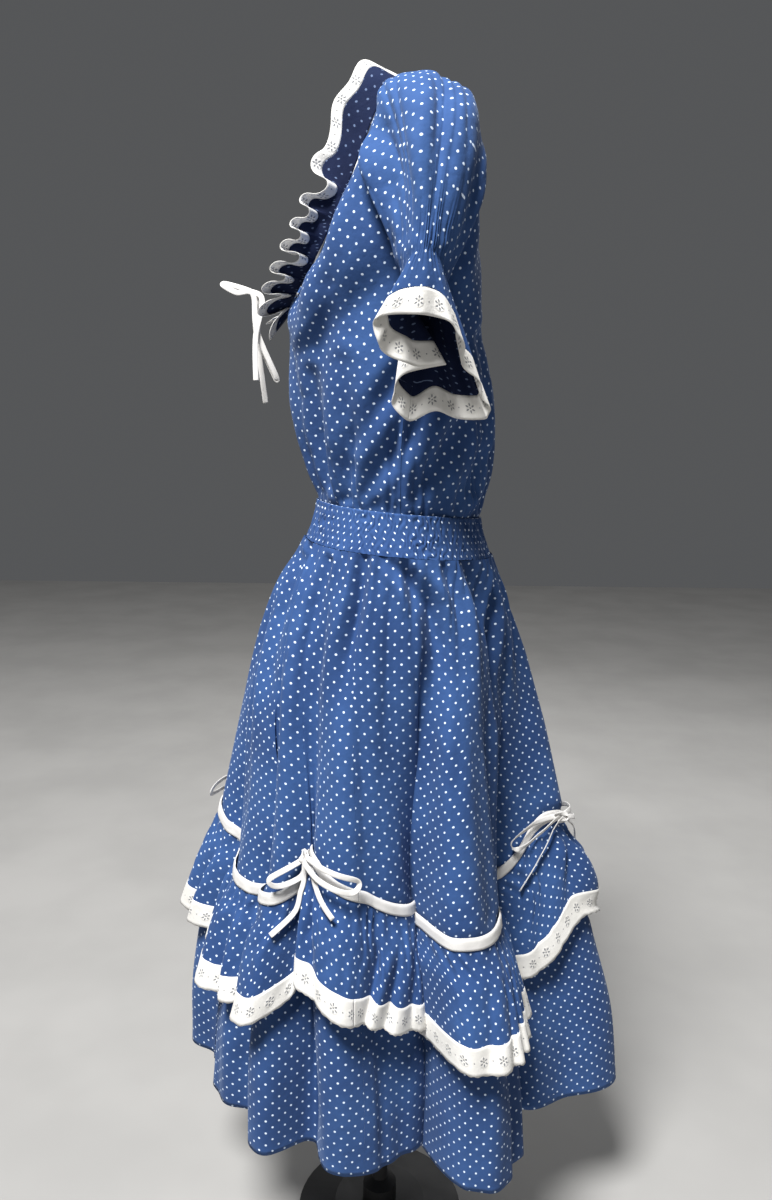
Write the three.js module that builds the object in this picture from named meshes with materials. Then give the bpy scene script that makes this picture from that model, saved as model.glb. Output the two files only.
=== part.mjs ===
// Square dance blouse and skirt on a dress form. Millimetres, +Z up, origin under the middle of the base.
// The wearer would face -Y, with their left side towards +X.
import * as THREE from 'three';

// ---- driving sizes ----
const cloth = 1.6;                 // wall of the dotted cotton
const trim = 1.3;                  // wall of lace and tape
const seamGap = 0.3;               // between pieces that meet
const edgingGap = 1.5;             // where an edging is cut from its cloth on a slant
const waist = { halfWidth: 130, halfDepth: 97, centreY: 14, topZ: 939, bottomZ: 895, tilt: 10, flare: 12.5 };
const hem = { halfWidth: 181, halfDepth: 262, z: 210, tilt: 20 };
const seamTwist = -15;             // the skirt has turned on the form, degrees
const tapeWidth = 13;
const flounceDrop = 121;           // tape to the lace's lower edge
const flounceLace = 29;
const flounceStand = 24;           // how far the flounce's edge stands out from the skirt
const flounceGather = 1.3;
const skirtColumns = 96;
const bandColumns = 40;            // in each half
const bandRows = 3;
const bandRib = 1.1;               // height of the shirring
const neckRuffle = { width: 33, lace: 13, waves: 20, columns: 80, rise: 1.8 };
const elastic = { x: 204, y: 31, z: 1158, halfWidth: 34, halfDepth: 19, tilt: 22 };
const sleeveLace = 24;
const base = { radius: 108, height: 14, edge: 5 };
const pole = { radius: 10, top: 752 };
const tieWidth = 5;
const tieThick = 1.5;
const bowSteps = 28;

// Skirt folds at the hem, round the body from the front: ridges, valleys and shoulders.
const hemFolds = [
  { angle: -100, radius: 285 }, { angle: -94, radius: 262 }, { angle: -90, radius: 234 }, { angle: -84, radius: 229 },
  { angle: -74, radius: 238 }, { angle: -66, radius: 222 }, { angle: -59, radius: 189 }, { angle: -52, radius: 202 },
  { angle: -44, radius: 224 }, { angle: -39, radius: 190 }, { angle: -32, radius: 176 }, { angle: -26, radius: 194 },
  { angle: -19, radius: 206 }, { angle: -12, radius: 181 }, { angle: 1, radius: 153 }, { angle: 12, radius: 96 },
  { angle: 19, radius: 150 }, { angle: 24, radius: 212 }, { angle: 29, radius: 222 }, { angle: 37, radius: 208 },
  { angle: 50, radius: 174 }, { angle: 74, radius: 151 }, { angle: 84, radius: 214 }, { angle: 94, radius: 289 },
  { angle: 104, radius: 262 }, { angle: 123, radius: 206 }, { angle: 143, radius: 230 }, { angle: 160, radius: 172 },
  { angle: 178, radius: 207 }, { angle: 198, radius: 138 }, { angle: 214, radius: 222 }, { angle: 226, radius: 214 },
  { angle: 240, radius: 194 }, { angle: 251, radius: 244 },
];

// Height of the white tape that heads the flounce: drawn up at each bow.
const tapeLine = [
  { angle: -115, z: 584 }, { angle: -88, z: 528 }, { angle: -66, z: 500 }, { angle: -48, z: 510 },
  { angle: -29, z: 568 }, { angle: -14, z: 533 }, { angle: 8, z: 498 }, { angle: 30, z: 484 },
  { angle: 60, z: 484 }, { angle: 78, z: 500 }, { angle: 89, z: 562 }, { angle: 103, z: 522 },
  { angle: 123, z: 487 }, { angle: 146, z: 505 }, { angle: 166, z: 566 }, { angle: 184, z: 522 },
  { angle: 206, z: 490 }, { angle: 226, z: 516 },
];
const bowAngles = [{ side: 'front', angle: -115 }, { side: 'left', angle: -29 }, { side: 'back', angle: 89 },
  { side: 'right', angle: 166 }];

// How the skirt opens from the waist to the hem, and how its folds grow.
const skirtProfile = [
  { drop: 0, flare: 0, fold: 0, centreY: 14 }, { drop: 0.1, flare: 0.2, fold: 0.03, centreY: 9 },
  { drop: 0.28, flare: 0.43, fold: 0.16, centreY: 6 }, { drop: 0.47, flare: 0.57, fold: 0.4, centreY: 8 },
  { drop: 0.7, flare: 0.77, fold: 0.74, centreY: 14 }, { drop: 0.87, flare: 0.94, fold: 0.93, centreY: 20 },
  { drop: 1, flare: 1, fold: 1, centreY: 22 },
];

// Blouse sections, top to waist: where a row ends at the armhole or side seam, and where it crosses the middle.
const frontRows = [
  { edgeX: 112, edgeY: -6, edgeZ: 1352, midY: -110, midZ: 1167 },
  { edgeX: 150, edgeY: -16, edgeZ: 1318, midY: -112, midZ: 1153 },
  { edgeX: 168, edgeY: -25, edgeZ: 1272, midY: -113, midZ: 1137 },
  { edgeX: 172, edgeY: -6, edgeZ: 1228, midY: -112, midZ: 1119 },
  { edgeX: 168, edgeY: 29.8, edgeZ: 1198, midY: -111, midZ: 1098 },
  { edgeX: 164, edgeY: 25.8, edgeZ: 1130, midY: -108, midZ: 1060 },
  { edgeX: 153, edgeY: 17.8, edgeZ: 1060, midY: -102, midZ: 1024 },
  { edgeX: 139, edgeY: 13.8, edgeZ: 1000, midY: -92, midZ: 992 },
  { edgeX: 130, edgeY: 13.8, edgeZ: 958, midY: -84, midZ: 966 },
  { edgeX: 124, edgeY: 13.8, edgeZ: 940, midY: -78.5, midZ: 950 },
  { edgeX: 123, edgeY: 13.8, edgeZ: 918, midY: -77.5, midZ: 926 },
];
const backRows = [
  { edgeX: 112, edgeY: 50, edgeZ: 1346, midY: 90, midZ: 1246 },
  { edgeX: 146, edgeY: 72, edgeZ: 1316, midY: 92, midZ: 1220 },
  { edgeX: 164, edgeY: 83, edgeZ: 1268, midY: 94, midZ: 1188 },
  { edgeX: 171, edgeY: 68, edgeZ: 1225, midY: 99, midZ: 1148 },
  { edgeX: 168, edgeY: 30.2, edgeZ: 1198, midY: 110, midZ: 1106 },
  { edgeX: 164, edgeY: 26.2, edgeZ: 1130, midY: 118, midZ: 1064 },
  { edgeX: 153, edgeY: 18.2, edgeZ: 1060, midY: 121, midZ: 1024 },
  { edgeX: 139, edgeY: 14.2, edgeZ: 1000, midY: 118, midZ: 984 },
  { edgeX: 130, edgeY: 14.2, edgeZ: 956, midY: 111, midZ: 946 },
  { edgeX: 124, edgeY: 14.2, edgeZ: 938, midY: 106.5, midZ: 928 },
  { edgeX: 123, edgeY: 14.2, edgeZ: 916, midY: 105.5, midZ: 905 },
];
const bodiceColumns = 22;
const necklineCurve = 1.45;        // how late the neckline climbs to the shoulder

// The left sleeve's ruffle edge, from its outer side round by the back, inside and front.
const sleeveEdge = [
  { x: 234, y: 24, z: 1126 }, { x: 230, y: 56, z: 1119 }, { x: 211, y: 72, z: 1090 }, { x: 196, y: 88, z: 1056 },
  { x: 187, y: 97, z: 1036 }, { x: 181, y: 66, z: 1034 }, { x: 180, y: 44, z: 1042 }, { x: 180, y: 20, z: 1032 },
  { x: 184, y: 5, z: 1056 }, { x: 194, y: 2, z: 1078 }, { x: 208, y: -10, z: 1100 }, { x: 228, y: -9, z: 1125 },
];

// The way the neck ruffle leans, from the front round the left shoulder to the back.
const ruffleLean = [
  { angle: -90, x: 0, y: -0.45, z: -0.7 }, { angle: -72, x: -0.2, y: -0.75, z: -0.2 },
  { angle: -58, x: -0.35, y: -0.72, z: 0.15 },
  { angle: -42, x: -0.45, y: -0.68, z: 0.38 }, { angle: -22, x: -0.45, y: -0.68, z: 0.55 },
  { angle: -8, x: -0.55, y: -0.62, z: 0.56 }, { angle: 12, x: -0.6, y: -0.25, z: 0.76 },
  { angle: 35, x: -0.35, y: 0.05, z: 0.93 }, { angle: 90, x: 0, y: 0.15, z: 0.98 },
];

// Dress form: half width, front and back of each level.
const formRows = [
  { z: 752, halfWidth: 110, front: -80, back: 98 }, { z: 768, halfWidth: 120, front: -90, back: 106 },
  { z: 830, halfWidth: 121, front: -90, back: 108 }, { z: 895, halfWidth: 112, front: -73, back: 98 },
  { z: 930, halfWidth: 109, front: -68, back: 95 }, { z: 1000, halfWidth: 124, front: -78, back: 102 },
  { z: 1080, halfWidth: 144, front: -94, back: 100 }, { z: 1150, halfWidth: 150, front: -94, back: 86 },
  { z: 1205, halfWidth: 148, front: -86, back: 81 }, { z: 1260, halfWidth: 138, front: -60, back: 76 },
  { z: 1300, halfWidth: 116, front: -40, back: 68 }, { z: 1328, halfWidth: 80, front: -26, back: 58 },
  { z: 1345, halfWidth: 52, front: -20, back: 52 }, { z: 1372, halfWidth: 45, front: -24, back: 48 },
];
const formColumns = 24;

// A small bow of narrow tape: across, up and out from its knot.
const bowPath = [
  { across: 28, up: -49, out: 4 }, { across: 16, up: -22, out: 3 }, { across: 3, up: 0, out: 2.5 },
  { across: -18, up: -2, out: 4 }, { across: -38, up: -20, out: 6 }, { across: -34, up: -31, out: 6 },
  { across: -16, up: -16, out: 5.5 }, { across: 1, up: 2, out: 6 }, { across: 22, up: 1, out: 7 },
  { across: 42, up: -11, out: 9 }, { across: 37, up: -21, out: 10 }, { across: 16, up: -9, out: 9.5 },
  { across: -2, up: -2, out: 9.5 }, { across: -18, up: -38, out: 8 }, { across: -36, up: -82, out: 5 },
];
const neckTiePath = [
  { across: 11, up: -98, out: 12 }, { across: 9, up: -50, out: 12 }, { across: 3, up: -8, out: 5 },
  { across: -3, up: 3, out: 20 }, { across: -2, up: 10, out: 45 }, { across: 3, up: 8, out: 49 },
  { across: 4, up: 0, out: 34 }, { across: 5, up: -2, out: 15 }, { across: 5, up: -42, out: 11 },
  { across: 1, up: -92, out: -10 }, { across: -4, up: -88, out: -6 }, { across: -4, up: -42, out: 13 },
  { across: -4, up: -3, out: 11 }, { across: -9, up: -50, out: 12 }, { across: -11, up: -122, out: 4 },
];

// ---- helpers ----
const degrees = Math.PI / 180;

function mix(a, b, t) {
  return a + (b - a) * t;
}

// Smooth value between the rows of a table, with no overshoot; period joins the last row to the first.
function along(rows, xName, yName, x, period = 0) {
  const points = rows.map((row) => [row[xName], row[yName]]);
  if (period) {
    points.push(...points.slice(0, 2).map(([px, py]) => [px + period, py]));
    points.unshift(...points.slice(-4, -2).map(([px, py]) => [px - period, py]));
    const low = points[1][0];
    x = low + (((x - low) % period) + period) % period;
  }
  const last = points.length - 1;
  const slope = (i) => (points[i + 1][1] - points[i][1]) / (points[i + 1][0] - points[i][0]);
  const tangent = (i) => {
    if (i === 0) return slope(0);
    if (i === last) return slope(last - 1);
    const before = slope(i - 1);
    const after = slope(i);
    return before * after <= 0 ? 0 : (2 * before * after) / (before + after);
  };
  let i = 0;
  while (i < last - 1 && x > points[i + 1][0]) i += 1;
  const width = points[i + 1][0] - points[i][0];
  const t = Math.min(1, Math.max(0, (x - points[i][0]) / width));
  const bump = t * t * (3 - 2 * t);
  return mix(points[i][1], points[i + 1][1], bump)
    + width * (tangent(i) * t * (1 - t) ** 2 - tangent(i + 1) * t * t * (1 - t));
}

// Outward normals of a grid of points; core gives a point inside it for each point.
function gridNormals(grid, isRing, core) {
  const columns = grid[0].length;
  const normals = grid.map((row, r) => row.map((point, c) => {
    const before = isRing ? row[(c + columns - 1) % columns] : row[Math.max(0, c - 1)];
    const after = isRing ? row[(c + 1) % columns] : row[Math.min(columns - 1, c + 1)];
    const above = grid[Math.max(0, r - 1)][c];
    const below = grid[Math.min(grid.length - 1, r + 1)][c];
    const across = after.clone().sub(before);
    return across.cross(below.clone().sub(above)).normalize();
  }));
  let outward = 0;
  grid.forEach((row, r) => row.forEach((point, c) => {
    outward += normals[r][c].dot(point.clone().sub(core(row, point)));
  }));
  if (outward < 0) normals.forEach((row) => row.forEach((normal) => normal.negate()));
  return normals;
}

function rowMiddle(row) {
  return row.reduce((sum, point) => sum.add(point), new THREE.Vector3()).divideScalar(row.length);
}

function bodyCore(row, point) {
  return new THREE.Vector3(0, waist.centreY, point.z);
}

function moved(grid, normals, distance) {
  return grid.map((row, r) => row.map((point, c) => {
    const far = typeof distance === 'function' ? distance(r, c) : distance;
    return point.clone().addScaledVector(normals[r][c], far);
  }));
}

// Gives the grid's end rows the heights of another grid, so that pieces meet on level edges.
function levelled(grid, like, rows = [0, grid.length - 1]) {
  rows.forEach((r) => grid[r].forEach((point, c) => point.setZ(like[r][c].z)));
  return grid;
}

// A closed wall between an outer and an inner grid of points.
function wallGeometry(outer, inner, isRing) {
  const rows = outer.length;
  const columns = outer[0].length;
  const points = [...outer.flat(), ...inner.flat()];
  const o = (r, c) => r * columns + (c % columns);
  const i = (r, c) => rows * columns + o(r, c);
  const index = [];
  const quad = (a, b, c, d) => index.push(a, b, c, a, c, d);
  const spans = isRing ? columns : columns - 1;
  for (let c = 0; c < spans; c += 1) {
    for (let r = 0; r < rows - 1; r += 1) {
      quad(o(r, c), o(r, c + 1), o(r + 1, c + 1), o(r + 1, c));
      quad(i(r, c), i(r + 1, c), i(r + 1, c + 1), i(r, c + 1));
    }
    quad(o(0, c + 1), o(0, c), i(0, c), i(0, c + 1));
    quad(o(rows - 1, c), o(rows - 1, c + 1), i(rows - 1, c + 1), i(rows - 1, c));
  }
  for (let r = 0; r < rows - 1 && !isRing; r += 1) {
    quad(o(r, 0), o(r + 1, 0), i(r + 1, 0), i(r, 0));
    quad(o(r + 1, spans), o(r, spans), i(r, spans), i(r + 1, spans));
  }
  return facingOut(points, index);
}

// Turns the faces round if they enclose a negative volume.
function facingOut(points, index) {
  let volume = 0;
  for (let k = 0; k < index.length; k += 3) {
    volume += points[index[k]].dot(points[index[k + 1]].clone().cross(points[index[k + 2]]));
  }
  const faces = volume < 0 ? index.slice().reverse() : index;
  const geometry = new THREE.BufferGeometry();
  geometry.setAttribute('position', new THREE.Float32BufferAttribute(points.flatMap((p) => p.toArray()), 3));
  geometry.setIndex(faces);
  geometry.computeVertexNormals();
  return geometry;
}

// The rows of a grid up to one row, and those from it on, parted by the edging gap.
function parted(grid, row) {
  const below = grid.slice(row).map((points) => points.map((point) => point.clone()));
  below[0].forEach((point, c) => point.addScaledVector(below[1][c].clone().sub(point).normalize(), edgingGap));
  return [grid.slice(0, row + 1), below];
}

// Cloth and its lace edging, whose line is the grid's last row but one.
function addEdged(names, grid) {
  const inner = moved(grid, gridNormals(grid, true, rowMiddle), -cloth);
  const outerParts = parted(grid, grid.length - 2);
  const innerParts = parted(inner, grid.length - 2);
  names.forEach((name, k) => add(name, k ? 'lace' : 'cotton', wallGeometry(outerParts[k], innerParts[k], true)));
}

// Columns first to last of a grid, drawn back by half the seam gap at both ends.
function panel(grid, first, last) {
  return grid.map((row) => {
    const part = [];
    for (let c = first; c <= last; c += 1) part.push(row[c % row.length].clone());
    const draw = (end, next) => end.addScaledVector(next.clone().sub(end).normalize(), seamGap / 2);
    draw(part[0], part[1]);
    draw(part[part.length - 1], part[part.length - 2]);
    return part;
  });
}

const set = new THREE.Group();
const finishes = {
  cotton: { color: 0x2b4f8f, roughness: 0.85, metalness: 0 },
  lace: { color: 0xf1eee8, roughness: 0.8, metalness: 0 },
  tape: { color: 0xf0ede9, roughness: 0.75, metalness: 0 },
  jersey: { color: 0x1c1c1f, roughness: 0.9, metalness: 0 },
  metal: { color: 0x141416, roughness: 0.4, metalness: 0.7 },
};

function add(name, finish, geometry) {
  const mesh = new THREE.Mesh(geometry, new THREE.MeshStandardMaterial(finishes[finish]));
  mesh.name = name;
  set.add(mesh);
}

// ---- skirt ----
function ellipseRadius(halfWidth, halfDepth, angle) {
  return 1 / Math.hypot(Math.cos(angle * degrees) / halfWidth, Math.sin(angle * degrees) / halfDepth);
}

function hemRadius(angle) {
  return along(hemFolds, 'angle', 'radius', angle, 360);
}

function bandBottom(angle) {
  return waist.bottomZ - waist.tilt * Math.sin(angle * degrees);
}

function hemZ(angle) {
  return hem.z - hem.tilt * Math.sin(angle * degrees);
}

function skirtRadius(angle, drop) {
  const atWaist = ellipseRadius(waist.halfWidth + waist.flare, waist.halfDepth + waist.flare, angle);
  const atHem = ellipseRadius(hem.halfWidth, hem.halfDepth, angle);
  return mix(atWaist, atHem, along(skirtProfile, 'drop', 'flare', drop))
    + (hemRadius(angle) - atHem) * along(skirtProfile, 'drop', 'fold', drop);
}

// A point of the skirt's outer face, or of a layer further out.
function skirtPoint(angle, z, further = 0) {
  const top = bandBottom(angle) - seamGap;
  const drop = (top - z) / (top - hemZ(angle));
  const radius = skirtRadius(angle, drop) + further;
  const centreY = along(skirtProfile, 'drop', 'centreY', drop);
  return new THREE.Vector3(radius * Math.cos(angle * degrees), centreY + radius * Math.sin(angle * degrees), z);
}

// Angles of the columns, evenly spaced along the hem from one angle to another.
function hemAngles(from, to, count) {
  const step = 0.25;
  const angles = [from];
  const lengths = [0];
  for (let angle = from + step; angle <= to + step / 2; angle += step) {
    const here = skirtPoint(angle, hemZ(angle));
    lengths.push(lengths[lengths.length - 1] + here.distanceTo(skirtPoint(angle - step, hemZ(angle - step))));
    angles.push(angle);
  }
  const whole = lengths[lengths.length - 1];
  return Array.from({ length: count }, (_, k) => {
    const at = lengths.findIndex((length) => length >= (whole * k) / count - 1e-6);
    return angles[at];
  });
}

function tapeZ(angle) {
  return along(tapeLine, 'angle', 'z', angle, 360);
}

const backAngles = hemAngles(seamTwist, seamTwist + 180, skirtColumns / 2);
const frontAngles = hemAngles(seamTwist + 180, seamTwist + 360, skirtColumns / 2);
const skirtAngles = [...backAngles, ...frontAngles];
const aboveTape = [0, 0.18, 0.54];
const flounceDown = [0.33, 1 - flounceLace / flounceDrop, 1];

// Heights of the skirt's rows at one angle: waist, tape, flounce, lace and hem.
function rowHeights(angle) {
  const top = bandBottom(angle) - seamGap;
  const tapeTop = tapeZ(angle) + tapeWidth / 2;
  const tapeBottom = tapeTop - tapeWidth;
  return [
    ...aboveTape.map((t) => mix(top, tapeTop, t)),
    tapeTop,
    tapeBottom,
    ...flounceDown.map((t) => tapeBottom - t * flounceDrop),
    hemZ(angle),
  ];
}
const tapeRow = aboveTape.length;

const skirtOuter = rowHeights(0).map((_, r) => skirtAngles.map((angle) => skirtPoint(angle, rowHeights(angle)[r])));
const skirtNormals = gridNormals(skirtOuter, true, rowMiddle);
const skirtInner = levelled(moved(skirtOuter, skirtNormals, -cloth), skirtOuter);

function addHalves(name, finish, outer, inner) {
  const half = outer[0].length / 2;
  [['back', 0], ['front', half]].forEach(([side, first]) => {
    add(`${name}_${side}`, finish, wallGeometry(panel(outer, first, first + half), panel(inner, first, first + half)));
  });
}
addHalves('skirt', 'cotton', skirtOuter, skirtInner);

// White tape on the skirt, over the head of the flounce.
const tapeClear = 0.5;
const tapeLayer = (distance) => [0, 1].map((r) => skirtAngles.map((angle) => {
  const z = rowHeights(angle)[tapeRow + r];
  return skirtPoint(angle, z, clearOfSkirt(angle, z, distance));
}));

// Extra radius that keeps a layer clear of the skirt where its folds run steeply.
function clearOfSkirt(angle, z, distance) {
  const [radius, next] = [angle, angle + 1].map((turn) => {
    const top = bandBottom(turn) - seamGap;
    return skirtRadius(turn, (top - z) / (top - hemZ(turn)));
  });
  return distance * Math.hypot(1, (next - radius) / (radius * degrees));
}

// How far the flounce's outer face is from the skirt, on the ridge of a gather: more towards its edge.
function flounceOut(angle, z) {
  const down = Math.max(0, (tapeZ(angle) - tapeWidth / 2 - z) / flounceDrop);
  return clearOfSkirt(angle, z, cloth + 1.2) + 2 * flounceGather + flounceStand * down ** 0.8;
}

addHalves('flounce_tape', 'tape', tapeLayer(tapeClear + trim), tapeLayer(tapeClear));

// The flounce's face, or one further in: every other column stands back by the depth of a gather.
function flouncePoint(column, down, within) {
  const angle = skirtAngles[column];
  const z = tapeZ(angle) - tapeWidth / 2 - seamGap - down * flounceDrop;
  const gather = (column % 2) * 2 * flounceGather * (1 - 0.5 * down);
  return skirtPoint(angle, z, flounceOut(angle, z) - gather - clearOfSkirt(angle, z, within));
}

function addFlounce(name, finish, downs, wall) {
  const layer = (within) => downs.map((down) => skirtAngles.map((_, column) => flouncePoint(column, down, within)));
  addHalves(name, finish, layer(0), layer(wall));
}
const laceStart = flounceDown[1];
addFlounce('flounce', 'cotton', [0, flounceDown[0], laceStart], cloth);
addFlounce('flounce_lace', 'lace', [laceStart + seamGap / flounceDrop, 1], trim);

// ---- waistband, shirred on elastic ----
function bandGrid() {
  return Array.from({ length: bandRows + 1 }, (_, r) => {
    const down = r / bandRows;
    return Array.from({ length: bandColumns * 2 }, (__, c) => {
      const angle = seamTwist + (180 * c) / bandColumns;
      const flare = waist.flare * down ** 1.4;
      const radius = ellipseRadius(waist.halfWidth + flare, waist.halfDepth + flare, angle);
      const z = mix(waist.topZ, waist.bottomZ, down) - waist.tilt * Math.sin(angle * degrees);
      return new THREE.Vector3(radius * Math.cos(angle * degrees), waist.centreY + radius * Math.sin(angle * degrees), z);
    });
  });
}
const bandPlain = bandGrid();
const bandNormals = gridNormals(bandPlain, true, rowMiddle);
const bandOuter = levelled(moved(bandPlain, bandNormals, (r, c) => (c % 2 ? -bandRib : 0)), bandPlain);
const bandInner = levelled(moved(bandPlain, bandNormals, -cloth - bandRib), bandPlain);
addHalves('waistband', 'cotton', bandOuter, bandInner);

// ---- blouse ----
// One row of a panel, from the wearer's one side to the other.
function bodiceRow(row, facing) {
  return Array.from({ length: bodiceColumns + 1 }, (_, c) => {
    const turn = ((c / bodiceColumns) * 2 - 1) * 90 * degrees;
    const sine = Math.sin(turn);
    const cosine = Math.cos(turn);
    return new THREE.Vector3(
      facing * row.edgeX * sine,
      mix(row.edgeY, row.midY, cosine),
      mix(row.midZ, row.edgeZ, (1 - cosine) ** necklineCurve),
    );
  });
}

function bodicePanel(rows, facing) {
  const outer = rows.map((row) => bodiceRow(row, facing));
  const inner = moved(outer, gridNormals(outer, false, bodyCore), -cloth);
  return wallGeometry(outer, inner);
}
add('bodice_front', 'cotton', bodicePanel(frontRows, 1));
add('bodice_back', 'cotton', bodicePanel(backRows, -1));

// ---- sleeves ----
const shoulder = { edgeX: 108, edgeY: 22, edgeZ: 1357 };
const armhole = [
  shoulder, ...backRows.slice(0, 4), { edgeX: 168, edgeY: 30, edgeZ: 1198 }, ...frontRows.slice(0, 4).reverse(),
].map((row) => new THREE.Vector3(row.edgeX, row.edgeY, row.edgeZ));
const armholeParts = 3;            // columns between two points of the armhole
const sleeveColumns = armhole.length * armholeParts;
const armholeCentre = new THREE.Vector3(160, 32, 1275);
const puffRows = [0, 0.16, 0.36, 0.58, 0.8, 1];
const ruffleRows = [0.25, 0.6];
const puffFolds = 7;
const puffFoldHeight = 3.2;
const edgeCurve = new THREE.CatmullRomCurve3(sleeveEdge.map((p) => new THREE.Vector3(p.x, p.y, p.z)), true);

function armholePoint(column) {
  const part = Math.floor(column / armholeParts);
  const start = armhole[part % armhole.length];
  const end = armhole[(part + 1) % armhole.length];
  return start.clone().lerp(end, (column % armholeParts) / armholeParts).add(new THREE.Vector3(1, 0, 0.4));
}

function elasticPoint(column) {
  const turn = (2 * Math.PI * column) / sleeveColumns;
  const outward = Math.cos(turn);
  return new THREE.Vector3(
    elastic.x + elastic.halfWidth * outward,
    elastic.y + elastic.halfDepth * Math.sin(turn),
    elastic.z + elastic.tilt * outward,
  );
}

// The puff: each column leaves the armhole outwards, swells and comes down to the elastic.
function puffPoint(column, t) {
  const start = armholePoint(column);
  const end = elasticPoint(column);
  const outward = Math.max(0, Math.cos((2 * Math.PI * column) / sleeveColumns));
  const under = Math.max(0, -Math.cos((2 * Math.PI * column) / sleeveColumns));
  const side = Math.sin((2 * Math.PI * column) / sleeveColumns);
  const leave = start.clone().add(new THREE.Vector3(
    36 + 40 * outward - 22 * under,
    (side > 0 ? 12 : 18) * side + 14 * outward,
    8 + 8 * outward - 12 * under,
  ));
  const arrive = end.clone().add(new THREE.Vector3(
    8 + 12 * outward,
    (side > 0 ? 28 : 2) * side + 16 * outward,
    62 + 78 * outward - 35 * under,
  ));
  return new THREE.CubicBezierCurve3(start, leave, arrive, end).getPoint(t);
}

function rufflePoint(column, t) {
  const start = elasticPoint(column);
  const end = edgeCurve.getPoint(column / sleeveColumns);
  return start.lerp(end, t);
}

// How far down the ruffle its lace starts, so that the lace is equally deep all round.
function laceTop(column) {
  const whole = elasticPoint(column).distanceTo(rufflePoint(column, 1));
  return 1 - sleeveLace / whole;
}

function sleeveGrid() {
  const columns = Array.from({ length: sleeveColumns }, (_, c) => c);
  const puff = puffRows.map((t) => columns.map((c) => puffPoint(c, t)));
  const folds = gridNormals(puff, true, rowMiddle);
  const gathered = moved(puff, folds, (r, c) => puffFoldHeight * Math.sin(Math.PI * puffRows[r])
    * Math.cos((2 * Math.PI * puffFolds * c) / sleeveColumns));
  const ruffle = ruffleRows.map((t) => columns.map((c) => rufflePoint(c, t * laceTop(c))));
  const edging = [0, 1].map((t) => columns.map((c) => rufflePoint(c, mix(laceTop(c), 1, t))));
  return [...gathered, ...ruffle, ...edging];
}

addEdged(['sleeve_left', 'sleeve_lace_left'], sleeveGrid());
addEdged(['sleeve_right', 'sleeve_lace_right'], sleeveGrid().map((row) => row.map((p) => p.setX(-p.x))));

// ---- neck ruffle ----
function necklinePoints() {
  const top = new THREE.Vector3(shoulder.edgeX, shoulder.edgeY, shoulder.edgeZ);
  const every = 3;
  const pick = (row) => row.filter((_, c) => c % every === 1);
  return [...pick(bodiceRow(frontRows[0], 1)), top, ...pick(bodiceRow(backRows[0], -1)),
    new THREE.Vector3(-top.x, top.y, top.z)];
}
const neckCurve = new THREE.CatmullRomCurve3(necklinePoints(), true);
neckCurve.arcLengthDivisions = 800;

function ruffleDirection(point) {
  const angle = Math.atan2(point.y - shoulder.edgeY, Math.abs(point.x)) / degrees;
  const side = Math.sign(point.x) || 1;
  return new THREE.Vector3(
    side * along(ruffleLean, 'angle', 'x', angle),
    along(ruffleLean, 'angle', 'y', angle),
    along(ruffleLean, 'angle', 'z', angle),
  ).normalize();
}

// The ruffle leaves the neckline flat and waves more and more towards its edge.
function neckGrid(distances) {
  return distances.map((distance) => Array.from({ length: neckRuffle.columns }, (_, c) => {
    const share = c / neckRuffle.columns;
    const start = neckCurve.getPointAt(share);
    const lean = ruffleDirection(start);
    const across = neckCurve.getTangentAt(share).cross(lean).normalize();
    const front = Math.max(0, -lean.y);
    const height = mix(4, 9, front) * (distance / (neckRuffle.width + neckRuffle.lace));
    const wave = height * Math.cos(2 * Math.PI * neckRuffle.waves * share + Math.PI / 4);
    return start.addScaledVector(lean, distance).addScaledVector(across, wave);
  }));
}
addEdged(['neck_ruffle', 'neck_lace'],
  neckGrid([neckRuffle.rise, neckRuffle.width / 2, neckRuffle.width, neckRuffle.width + neckRuffle.lace]));

// ---- bows and neck tie ----
// A flat tape swept along a path, with its face turned outwards.
function tapeAlong(path, place, steps, outDirection) {
  const curve = new THREE.CatmullRomCurve3(path.map(place));
  const rings = Array.from({ length: steps + 1 }, (_, k) => {
    const point = curve.getPointAt(k / steps);
    const tangent = curve.getTangentAt(k / steps);
    const width = tangent.clone().cross(outDirection).normalize();
    const face = width.clone().cross(tangent).normalize();
    return [[1, 1], [-1, 1], [-1, -1], [1, -1]].map(([w, f]) => point.clone()
      .addScaledVector(width, (w * tieWidth) / 2).addScaledVector(face, (f * tieThick) / 2));
  });
  const index = [0, 1, 2, 0, 2, 3];
  for (let k = 0; k < steps; k += 1) {
    for (let s = 0; s < 4; s += 1) {
      const a = k * 4 + s;
      const b = k * 4 + ((s + 1) % 4);
      index.push(a, a + 4, b + 4, a, b + 4, b);
    }
  }
  const end = steps * 4;
  index.push(end, end + 2, end + 1, end, end + 3, end + 2);
  return facingOut(rings.flat(), index);
}

// A bow lies over the tape and the flounce: its path is bent round the skirt.
function addBow({ side, angle }) {
  const out = new THREE.Vector3(Math.cos(angle * degrees), Math.sin(angle * degrees), 0.25).normalize();
  const knotRadius = skirtPoint(angle, tapeZ(angle)).setZ(0).length();
  const place = (p) => {
    const here = angle + p.across / knotRadius / degrees;
    const z = tapeZ(angle) + p.up;
    return skirtPoint(here, z, flounceOut(here, z) + p.out);
  };
  add(`bow_${side}`, 'tape', tapeAlong(bowPath, place, bowSteps, out));
}
bowAngles.forEach(addBow);

const neckKnot = new THREE.Vector3(0, -140, 1181);
add('neck_tie', 'tape', tapeAlong(neckTiePath, (p) => new THREE.Vector3(p.across, -p.out, p.up).add(neckKnot), bowSteps,
  new THREE.Vector3(1, 0, 0.2).normalize()));

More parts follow.
